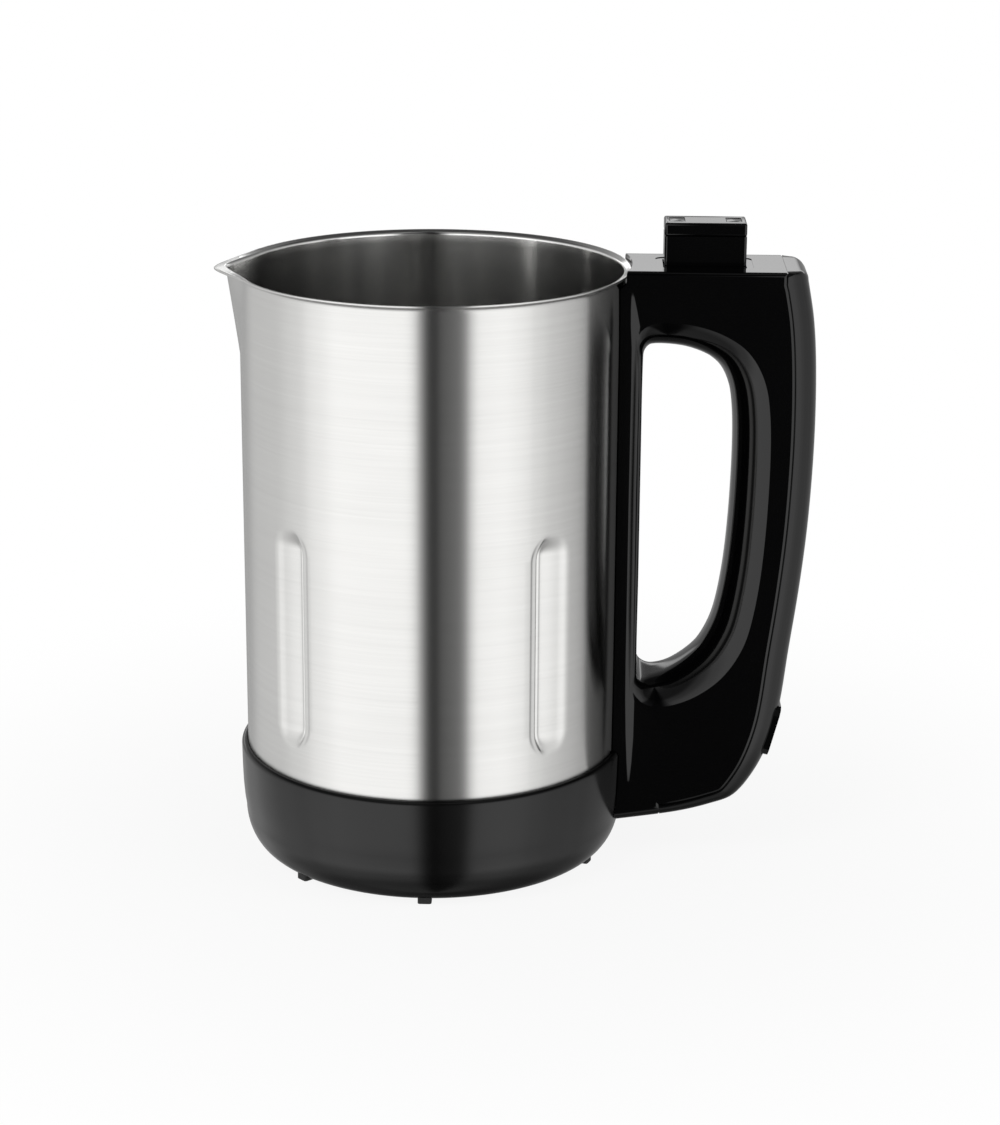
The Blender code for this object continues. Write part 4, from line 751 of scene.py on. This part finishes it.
def smooth_line(points, count, closed=False):
    """A smooth curve through the points, sampled evenly by span. A short span turns tightly."""
    total = len(points)
    around = range(-1, total + 2)
    if closed:
        at = [Vector(points[i % total]) for i in around]
    else:
        at = [Vector(points[min(max(i, 0), total - 1)]) for i in around]
    runs = [max((b - a).length, MERGE) for a, b in zip(at, at[1:])]
    spans, samples = (total, count) if closed else (total - 1, count - 1)
    line = []
    for k in range(count):
        i = min(int(spans * k / samples), spans - 1)
        t = spans * k / samples - i
        a, b, c, d = at[i:i + 4]
        before, here, after = runs[i:i + 3]
        leave = (c - a) * (here / (before + here))
        arrive = (d - b) * (here / (here + after))
        on_chord = b + (c - b) * (t * t * (3 - 2 * t))
        line.append(on_chord + leave * (t * (1 - t) ** 2) - arrive * (t * t * (1 - t)))
    return line


def outward(points, closed):
    """Unit normals on the left of a clockwise line: away from the solid, or into it for an opening."""
    first, last = (points[-1], points[0]) if closed else (points[0], points[-1])
    around = [first] + points + [last]
    runs = [(after - before).normalized() for before, after in zip(around, around[2:])]
    return [Vector((-run.y, run.x)) for run in runs]


# Jug


def wrap(angle):
    return (angle + math.pi) % (2 * math.pi) - math.pi


def spout_half(z):
    rise = min(max((z - (RIM_Z - SPOUT_DROP)) / SPOUT_DROP, 0), 1)
    return rise, SPOUT_FOOT_ANGLE + (SPOUT_TOP_ANGLE - SPOUT_FOOT_ANGLE) * rise


def spout_radius(phi, z):
    """Radius of the wall here: flat spout faces that run off the round wall to a soft nose."""
    rise, half = spout_half(z)
    off = abs(wrap(phi - math.pi))
    if rise == 0 or off >= half:
        return JUG_R
    nose = JUG_R + SPOUT_NOSE * rise
    lean = math.atan2(nose - JUG_R * math.cos(half), JUG_R * math.sin(half))
    soft = SPOUT_NOSE_ANGLE * (1 - off / half)
    flat = nose * math.cos(lean) / math.cos(math.hypot(off, soft) - lean)
    return max(JUG_R, flat * (1 + (math.cos(soft - lean) / math.cos(lean) - 1) * (1 - off / half)))


def profile_depth(u):
    for (a, low), (b, high) in zip(FLUTE_PROFILE, FLUTE_PROFILE[1:]):
        if u <= b:
            return low + (high - low) * max(u - a, 0) / (b - a)
    return 0


def flute_side(centre):
    """Which way a flute's profile runs, so that its steep side is nearer the jug's front or back."""
    return 1 if math.cos(centre) * math.sin(centre) > 0 else -1


def flute_push(phi, z):
    """How deep a flute presses the wall in here, its profile softened and its ends rounded."""
    middle = FLUTE_FOOT_Z + FLUTE_LENGTH / 2
    into_end = (abs(z - middle) - (FLUTE_LENGTH / 2 - FLUTE_END)) / FLUTE_END
    if into_end >= 1:
        return 0
    width = math.sqrt(1 - max(into_end, 0) ** 2)
    for centre in FLUTE_ANGLES:
        s = wrap(phi - centre) / FLUTE_HALF_ANGLE * flute_side(centre) / width
        if abs(s) < 1:
            u = (1 - s) / 2 * FLUTE_WIDTH / MM
            depths = [profile_depth(min(max(u + shift, 0), FLUTE_SPAN)) for shift in FLUTE_SHIFTS]
            edge = min(1, (1 - abs(s)) * FLUTE_EDGE_RISE)
            full = min(1, (1 - max(into_end, 0)) * FLUTE_END_RISE)
            return sum(depths) / len(depths) * MM * edge * full * full * (3 - 2 * full)
    return 0


def jug_columns():
    """Angles of the wall's columns, closest on the flutes' steep sides and close on the spout."""
    angles = [math.radians(a) for a in ROUND_COLUMNS]
    angles = [a for a in angles if all(abs(wrap(a - c)) > FLUTE_HALF_ANGLE * 1.05 for c in FLUTE_ANGLES)]
    for centre in FLUTE_ANGLES:
        reach = flute_side(centre) * FLUTE_HALF_ANGLE
        angles += [wrap(centre + reach * (1 - 2 * u / FLUTE_SPAN)) for u in FLUTE_COLUMNS]
    for side in (-1, 1):
        angles += [wrap(math.pi + side * math.radians(a)) for a in SPOUT_COLUMNS]
    return sorted(set(round(a, 6) for a in angles + [math.pi]))


def spout_shift(phi, z):
    """Columns near the spout lean so that one of them follows its crease."""
    off = wrap(phi - math.pi)
    size = abs(off)
    if size >= SPOUT_SPREAD_ANGLE:
        return phi
    _, half = spout_half(z)
    if size <= SPOUT_TOP_ANGLE:
        new = size * half / SPOUT_TOP_ANGLE
    else:
        beyond = (size - SPOUT_TOP_ANGLE) * (SPOUT_SPREAD_ANGLE - half)
        new = half + beyond / (SPOUT_SPREAD_ANGLE - SPOUT_TOP_ANGLE)
    return math.pi + math.copysign(new, off)


def steps_between(low, high, step):
    count = max(1, round((high - low) / step))
    return [low + (high - low) * k / count for k in range(count)]


def wall_rows():
    """Heights of the wall's rows from its lower corner to its lip, closest at the flutes' ends."""
    low, high = FLUTE_FOOT_Z, FLUTE_FOOT_Z + FLUTE_LENGTH
    marks = [JUG_FLOOR_Z + JUG_CORNER_R, low, low + FLUTE_END, high - FLUTE_END, high]
    marks += [RIM_Z - SPOUT_DROP, RIM_Z - LIP_ROOM]
    rows = []
    for start, end, step in zip(marks, marks[1:], ROW_STEPS):
        rows += steps_between(start, end, step * MM)
    return rows


def corner_rows(inset, radius, z):
    """Rows up round the wall's lower corner, from this inset, radius and height."""
    return [(inset + radius * (1 - math.sin(a)), z + radius * (1 - math.cos(a)), 0) for a in arc(6)[:-1]]


def jug_rows():
    """Rows up the outside, over the lip and down inside, each (inset of the radius, height, lip share)."""
    floor_z = JUG_FLOOR_Z + JUG_WALL
    wall = wall_rows()
    outside = corner_rows(0, JUG_CORNER_R, JUG_FLOOR_Z) + [(0, z, 0) for z in wall]
    lip = [(inset * MM, RIM_Z - down * MM, share) for inset, down, share in LIP_SECTION]
    inside = [(JUG_WALL, z, 0) for z in wall[::-1]]
    inside += corner_rows(JUG_WALL, JUG_CORNER_R - JUG_WALL, floor_z)[::-1]
    return outside + lip + inside + [(JUG_R * share, floor_z, 0) for share in FLOOR_SHARES]


def jug_point(phi, inset, z, lip):
    """A point of the wall. lip, 0 to 1, carries it out along the lip, which widens and dips at the spout."""
    phi = spout_shift(phi, z)
    nose = max(0, 1 - abs(wrap(phi - math.pi)) / SPOUT_TOP_ANGLE)
    r = spout_radius(phi, z) - inset - flute_push(phi, z)
    r += lip * (LIP_OVERHANG + SPOUT_LIP_EXTRA * nose ** SPOUT_LIP_CURVE)
    z -= lip * SPOUT_LIP_DIP * nose
    return round_spot(r, phi, z)


def make_jug():
    columns = jug_columns()
    jug = lofted("jug_drawn", [[jug_point(phi, *row) for phi in columns] for row in jug_rows()])
    dress(jug, "jug_steel", ("jug",), 38.0)


# Base


def base_outside():
    """The base housing's outer profile from its top edge down to its flat underside."""
    side = BASE_R - BASE_DRAFT
    shoulder = [(BASE_R - BASE_SHOULDER * (1 - math.sin(a)), BASE_TOP_Z - BASE_SHOULDER * (1 - math.cos(a)))
                for a in arc(7)]
    wall = [(BASE_R - BASE_DRAFT * s, BASE_KNEE_Z + (BASE_TOP_Z - BASE_SHOULDER - BASE_KNEE_Z) * r)
            for s, r in BASE_DRAFT_SHARES]
    height = BASE_KNEE_Z - BASE_UNDER_Z
    knee = [(side - BASE_KNEE_RUN * (1 - math.cos(a)), BASE_KNEE_Z - height * math.sin(a)) for a in arc(16)]
    return shoulder + wall + knee


def make_base():
    outside = base_outside()
    floor = BASE_UNDER_Z + BASE_WALL
    inner = BASE_R - BASE_DRAFT - BASE_WALL
    knee_r = inner - BASE_KNEE_RUN
    inside = [(JUG_R + GAP, BASE_TOP_Z), (JUG_R + GAP, SHELF_Z), (GASKET_R, SHELF_Z),
              (GASKET_R, SHELF_Z - SHELF_THICK), (inner, SHELF_Z - SHELF_THICK), (inner, BASE_KNEE_Z)]
    inside += [(knee_r + BASE_KNEE_RUN * math.cos(a), BASE_KNEE_Z - (BASE_KNEE_Z - floor) * math.sin(a))
               for a in arc(4)[1:]]
    base = turned("base_moulding", [(0, BASE_UNDER_Z)] + outside[::-1] + inside + [(0, floor)], BASE_STEPS)
    cutters = []
    for angle in SCREW_ANGLES:
        sink_spot = round_spot(SCREW_PITCH_R, angle, BASE_UNDER_Z)
        cutters.append(rod("sink", SCREW_HEAD_R + GAP, 2 * SCREW_HEAD_DEPTH, sink_spot))
        cutters.append(rod("bore", SCREW_R, 8 * BASE_WALL, round_spot(SCREW_PITCH_R, angle, floor)))
    for angle in FOOT_ANGLES:
        size = (FOOT_SIDE + 2 * GAP, FOOT_SIDE + 2 * GAP, 2 * (FOOT_SEAT + GAP))
        spot = round_spot(FOOT_MID_R, angle, BASE_UNDER_Z)
        cutters.append(block("seat", size, spot, FOOT_SIDE / 6, Matrix.Rotation(angle, 4, 'Z')))
    size = (4 * BASE_WALL, 2 * CHANNEL_HALF, CHANNEL_HEIGHT - 2 * GAP)
    cutters.append(block("way", size, (BASE_R, 0, CHANNEL_MID_Z)))
    combine(base, cutters)
    drop(*cutters)
    dress(base, "base_black", ("base_housing",))


# Handle


def handle_spot(share):
    return Vector((JUG_R + HANDLE_DEPTH * share[0], HANDLE_TOP_Z * share[1]))


def handle_outline(back_steps, corner_steps):
    """Clockwise outline in XZ: along the top, round its back corner, down the back and forward underneath."""
    back_top = HANDLE_REACH - TOP_CORNER_INSET
    corner = Vector((back_top - TOP_CORNER_R, HANDLE_TOP_Z - TOP_CORNER_R))
    top = [Vector((x, HANDLE_TOP_Z)) for x in (HANDLE_FRONT_X, JUG_R + CAVITY_FRONT_RUN, SEAM_TOP_X)]
    turn = [math.pi / 2 * k / corner_steps for k in range(corner_steps)]
    bend = [corner + TOP_CORNER_R * Vector((math.sin(a), math.cos(a))) for a in turn]
    spots = [Vector((back_top, HANDLE_TOP_Z - TOP_CORNER_R))] + [handle_spot(s) for s in BACK_SHARES]
    return top + bend + smooth_line(spots, back_steps)


def handle_side_outline(outline):
    """The same points where the rounded edges end, on the handle's flat sides."""
    inner = []
    for p, n in zip(outline, outward(outline, False)):
        drop_by = TOP_EDGE_R if n.y > 0 else UNDER_EDGE_R
        s = Vector((p.x - BACK_EDGE_R * max(n.x, 0), p.y - drop_by * n.y))
        near_top = n.y > 0 and s.y > HANDLE_TOP_Z - TOP_CORNER_R - TOP_EDGE_R
        if near_top and s.x > SEAM_TOP_X:
            s.x = SEAM_TOP_X + (s.x - SEAM_TOP_X) * CORNER_PINCH_SHARE
        inner.append(s)
    return inner


def opening_line(steps):
    """The finger opening's outline, and how far its edge rolls outward at each point."""
    spots = [(*handle_spot(s), HANDLE_HALF * r) for s, r in zip(OPENING_SHARES, OPENING_ROLL_SHARES)]
    line = smooth_line(spots, steps, closed=True)
    return [Vector((p.x, p.y)) for p in line], [p.z for p in line]


def roll_in(radius, y, half):
    """Share of the way to the side outline here, along an arc that leaves the flat side at EDGE_LEAN."""
    if radius <= MERGE:
        return 0
    depth = min(radius * math.cos(EDGE_LEAN) / (1 - math.sin(EDGE_LEAN)), half)
    run = min(max(abs(y) - (half - depth), 0), depth)
    sine = math.sqrt(1 - (math.cos(EDGE_LEAN) * run / depth) ** 2)
    return (1 - sine) / (1 - math.sin(EDGE_LEAN))


def rolled(points, side_points, y, half):
    """The outline at this distance from the handle's middle plane, rolling over to its side outline."""
    ring = []
    for p, s in zip(points, side_points):
        q = p + (s - p) * roll_in((s - p).length, y, half)
        ring.append((q.x, y, q.y))
    return ring


def stations(half, shares):
    return [-half * s for s in reversed(shares)] + [half * s for s in shares]


def handle_loft(name, inset=0.0):
    """The whole handle without its opening and hollow, or the same one layer further in."""
    outline = handle_outline(*OUTLINE_STEPS)
    side = handle_side_outline(outline)
    outline = [p - n * inset for p, n in zip(outline, outward(outline, False))]
    half = HANDLE_HALF - inset
    return lofted(name, [rolled(outline, side, y, half) for y in stations(half, STATION_SHARES)])


def opening_cutter():
    outline, rolls = opening_line(OPENING_STEPS)
    side = [p + n * r for p, n, r in zip(outline, outward(outline, True), rolls)]
    rings = [rolled(outline, side, y, HANDLE_HALF) for y in stations(HANDLE_HALF, STATION_SHARES)]
    far = HANDLE_HALF + OVERRUN
    first, last = [[(x, y, z) for x, _, z in ring] for y, ring in ((-far, rings[0]), (far, rings[-1]))]
    return lofted("opening_cutter", [first] + rings + [last])


def hollow_back():
    """The hollow's outline under the top, down the back and forward underneath, and where its sides end."""
    outline = handle_outline(*HOLLOW_OUTLINE_STEPS)
    front = JUG_R + CAVITY_FRONT_RUN
    ceiling = HANDLE_TOP_Z - HANDLE_TOP_WALL
    line = []
    for p, s, n in zip(outline, handle_side_outline(outline), outward(outline, False)):
        on_corner = p.x > SEAM_TOP_X + MERGE and p.y > HANDLE_TOP_Z - TOP_CORNER_R + MERGE
        if p.x < front - MERGE or on_corner:
            continue
        reach = (s - p).length
        if reach > HANDLE_WALL + MERGE:
            q, end = p + (s - p) * (HANDLE_WALL / reach), s
        else:
            q = end = p - n * HANDLE_WALL
        line.append(tuple(Vector((max(v.x, front), min(v.y, ceiling))) for v in (q, end)))
    p, q = next((p, q) for p, q in zip(outline, outline[1:]) if p.x >= front > q.x)
    foot = p + (q - p) * ((p.x - front) / (p.x - q.x))
    return line + [(foot + Vector((0, HANDLE_WALL)), foot + Vector((0, UNDER_EDGE_R)))]


def hollow_front():
    """The hollow's outline one wall outside the finger opening, from low in front round to high in front."""
    front = JUG_R + CAVITY_FRONT_RUN
    hole, rolls = opening_line(HOLLOW_OPENING_STEPS)
    line = []
    for p, n, r in reversed(list(zip(hole, outward(hole, True), rolls))):
        if p.x > front + HANDLE_WALL / 2:
            pair = p + n * HANDLE_WALL, p + n * max(r, HANDLE_WALL + GRIP_WALL_MIN)
            line.append(tuple(Vector((max(v.x, front), v.y)) for v in pair))
    corners = [tuple(Vector((front, v.y)) for v in line[i]) for i in (0, -1)]
    return corners[:1] + line + corners[1:]


def hollow_cutter():
    line = hollow_back() + hollow_front()
    points, ends = zip(*line)
    half = HANDLE_HALF - HANDLE_WALL
    rings = [rolled(points, ends, y, half) for y in stations(half, HOLLOW_STATION_SHARES)]
    return lofted("hollow_cutter", rings)


def cover_line(shift):
    """Outline of everything behind the seam, grown by shift towards the handle's body."""
    outline = handle_outline(*OUTLINE_STEPS)
    butt = JUG_R + SEAM_FOOT_RUN
    first = HANDLE_TOP_Z - TOP_CORNER_R
    line = [(s, n) for p, s, n in zip(outline, handle_side_outline(outline), outward(outline, False))
            if p.y < first and s.x > butt]
    far, high = HANDLE_REACH + OVERRUN, HANDLE_TOP_Z + OVERRUN
    shape = [Vector((SEAM_TOP_X - shift, high))] + [s - n * shift for s, n in line]
    end = ((butt - shift, line[-1][0].y + shift), (butt - shift, 0), (far, 0), (far, high))
    return shape + [Vector(p) for p in end]


def cover_zone(name, shift):
    far = HANDLE_HALF + OVERRUN
    return lofted(name, [[(p.x, y, p.y) for p in cover_line(shift)] for y in (-far, far)])


def front_cutter():
    """The jug and the base housing with their clearance, which shape the handle's front."""
    base = [(r + GAP, z) for r, z in base_outside()[1:]]
    under = RIM_Z - LIP_DROP - GAP
    lip = JUG_R + LIP_OVERHANG + GAP
    profile = [(0, HANDLE_TOP_Z + OVERRUN), (lip, HANDLE_TOP_Z + OVERRUN), (lip, under),
               (JUG_R + GAP, under - LIP_OVERHANG), (JUG_R + GAP, BASE_TOP_Z + GAP),
               (BASE_R - BASE_SHOULDER + GAP, BASE_TOP_Z + GAP)]
    return turned("front_cutter", profile + base + [(0, BASE_UNDER_Z - OVERRUN)], FRONT_STEPS)


def post_cutter(side):
    """What the handle's side loses in front of the step, down to the post beside the jug."""
    front = HANDLE_FRONT_X - OVERRUN
    proud = HANDLE_HALF + OVERRUN
    rings = []
    for z, end, run, depth in POST_STEP:
        line = [(front, side * proud, z * MM), (end * MM, side * proud, z * MM)]
        for share in POST_STEP_SHARES:
            x = (end - run * share) * MM
            rise = share * share * (3 - 2 * share)
            line.append((x, side * (HANDLE_HALF - depth * MM * rise), z * MM))
        line.append((front, side * (HANDLE_HALF - depth * MM), z * MM))
        rings.append(line)
    return lofted("post_cutter", rings)


def seam_edge_cutter(side):
    """The slope of the body's edge along the seam, on one of the handle's flat sides."""
    levels = [(-OVERRUN, 1)] + [(SEAM_SLOPE_DEPTH * down, share) for down, share in SEAM_SLOPE_SHARES]
    rings = []
    for depth, share in levels:
        y = side * (HANDLE_HALF - depth)
        rings.append([(p.x, y, p.y) for p in cover_line(GAP / 2 + SEAM_EXTRA + SEAM_SLOPE_RUN * share)])
    return lofted("seam_edge_cutter", rings)


def coupler_cutters():
    """The coupler's pocket in the handle's top, and its way through the wall there."""
    pocket = block("pocket", (POCKET_LENGTH, POCKET_WIDTH, 2 * POCKET_DEPTH), (COUPLER_X, 0, HANDLE_TOP_Z),
                   POCKET_CORNER, steps=8)
    size = (COUPLER_LENGTH + 2 * GAP, COUPLER_WIDTH + 2 * GAP, 4 * HANDLE_TOP_WALL)
    return [pocket, block("way", size, (COUPLER_X, 0, HANDLE_TOP_Z - POCKET_DEPTH), COUPLER_EDGE)]


def make_handle_body():
    body = handle_loft("handle_shell")
    size = (3 * CAVITY_FRONT_RUN, 2 * CHANNEL_HALF, CHANNEL_HEIGHT)
    channel = block("channel", size, (JUG_R, 0, CHANNEL_MID_Z))
    behind = cover_zone("body_zone", GAP / 2 + SEAM_EXTRA)
    cutters = [opening_cutter(), front_cutter(), hollow_cutter(), behind, channel] + coupler_cutters()
    cutters += [post_cutter(-1), post_cutter(1), seam_edge_cutter(-1), seam_edge_cutter(1)]
    combine(body, cutters)
    drop(*cutters)
    dress(body, "handle_black", ("handle_body",))


def inlet_cutter():
    out = Vector((math.cos(INLET_TILT), 0, -math.sin(INLET_TILT)))
    across = Vector((0, 1, 0))
    turn = Matrix((across, out.cross(across), out)).transposed().to_4x4()
    size = (INLET_WIDTH + 2 * GAP, INLET_HEIGHT + 2 * GAP, 2 * INLET_DEPTH)
    return block("aperture", size, INLET_SPOT, INLET_CORNER, turn, steps=6)


def shell_behind_seam(name, shift, inset=0.0):
    """The handle's wall behind the seam, from inset below its skin, and shift further to the body."""
    shell = handle_loft(name, inset)
    cutters = [hollow_cutter(), inlet_cutter()]
    keep = cover_zone("cover_zone", shift)
    combine(shell, cutters)
    combine(shell, [keep], 'INTERSECT')
    drop(*cutters, keep)
    return shell


def make_handle_cover():
    """The back cover, with a ledge below its skin that closes the seam to a fine line."""
    cover = shell_behind_seam("handle_back", -GAP / 2)
    ledge = shell_behind_seam("ledge", GAP / 2 + SEAM_EXTRA - SEAM_CLOSE, SEAM_SKIN)
    combine(cover, [ledge], 'UNION')
    drop(ledge)
    dress(cover, "handle_black", ("handle_cover",))


# Coupler


def make_coupler_body():
    flange_top = HANDLE_TOP_Z - HANDLE_TOP_WALL - GAP
    low = flange_top - FLANGE_THICK
    height = CAP_LOW_Z - SEAM_CLOSE - low
    middle = (COUPLER_X, 0, low + height / 2)
    body = block("coupler_shell", (COUPLER_LENGTH, COUPLER_WIDTH, height), middle, COUPLER_EDGE, steps=5)
    flange = block("flange", (FLANGE_LENGTH, 2 * FLANGE_HALF, FLANGE_THICK),
                   (COUPLER_X, 0, flange_top - FLANGE_THICK / 2), COUPLER_EDGE)
    bore_size = (COUPLER_LENGTH - 2 * COUPLER_WALL, COUPLER_WIDTH - 2 * COUPLER_WALL, 2 * height)
    cutters = [block("bore", bore_size, middle)]
    for side in (-1, 1):
        spot = (COUPLER_X, side * COUPLER_SCREW_Y, flange_top)
        cutters.append(rod("hole", SMALL_SCREW_R + GAP, 4 * FLANGE_THICK, spot))
    combine(body, [flange], 'UNION')
    combine(body, cutters)
    drop(flange, *cutters)
    dress(body, "handle_black", ("coupler_body",))


def make_coupler_cap():
    cap = block("coupler_top", (COUPLER_LENGTH, COUPLER_WIDTH, CAP_HEIGHT),
                (COUPLER_X, 0, CAP_LOW_Z + CAP_HEIGHT / 2), COUPLER_EDGE, edge=CAP_EDGE, steps=5)
    slots = []
    for side in (-1, 1):
        spot = (COUPLER_X + side * SLOT_RUN, 0, CAP_LOW_Z)
        slots.append(block("slot", (SLOT_LENGTH, SLOT_WIDTH, 3 * CAP_HEIGHT), spot, SLOT_CORNER))
    combine(cap, slots)
    drop(*slots)
    dress(cap, "handle_black", ("coupler_cap",))


def make_slot_plate(number, side):
    """The plate that closes one slot in the cap; the solids leave it open."""
    size = (SLOT_LENGTH - 2 * SHUTTER_GAP, SLOT_WIDTH - 2 * SHUTTER_GAP, SHUTTER_THICK)
    spot = (COUPLER_X + side * SLOT_RUN, 0, COUPLER_TOP_Z - SHUTTER_SET_IN - SHUTTER_THICK / 2)
    plate = block("slot_shutter_%d" % number, size, spot, SHUTTER_CORNER, edge=SHUTTER_EDGE)
    dress(plate, "handle_black", ())


# Frame, finishes and the object's own pieces

FINISHES = make_finishes()


def finish_inner_pieces(replaced):
    for entry in frame["record"]["subparts"]:
        if entry["node"] not in replaced:
            mesh = frame["nodes"][entry["node"]].data
            mesh.materials.clear()
            mesh.materials.append(FINISHES[entry["material_slot"]])


REPLACED = ("jug", "base_housing", "handle_body", "handle_cover", "coupler_body", "coupler_cap")

bpy.context.scene.view_settings.view_transform = 'Standard'
make_camera()
make_world()
make_floor()
for lamp in LAMPS:
    make_lamp(*lamp)
make_jug()
make_base()
make_handle_body()
make_handle_cover()
make_coupler_body()
make_coupler_cap()
make_slot_plate(1, -1)
make_slot_plate(2, 1)
finish_inner_pieces(REPLACED)
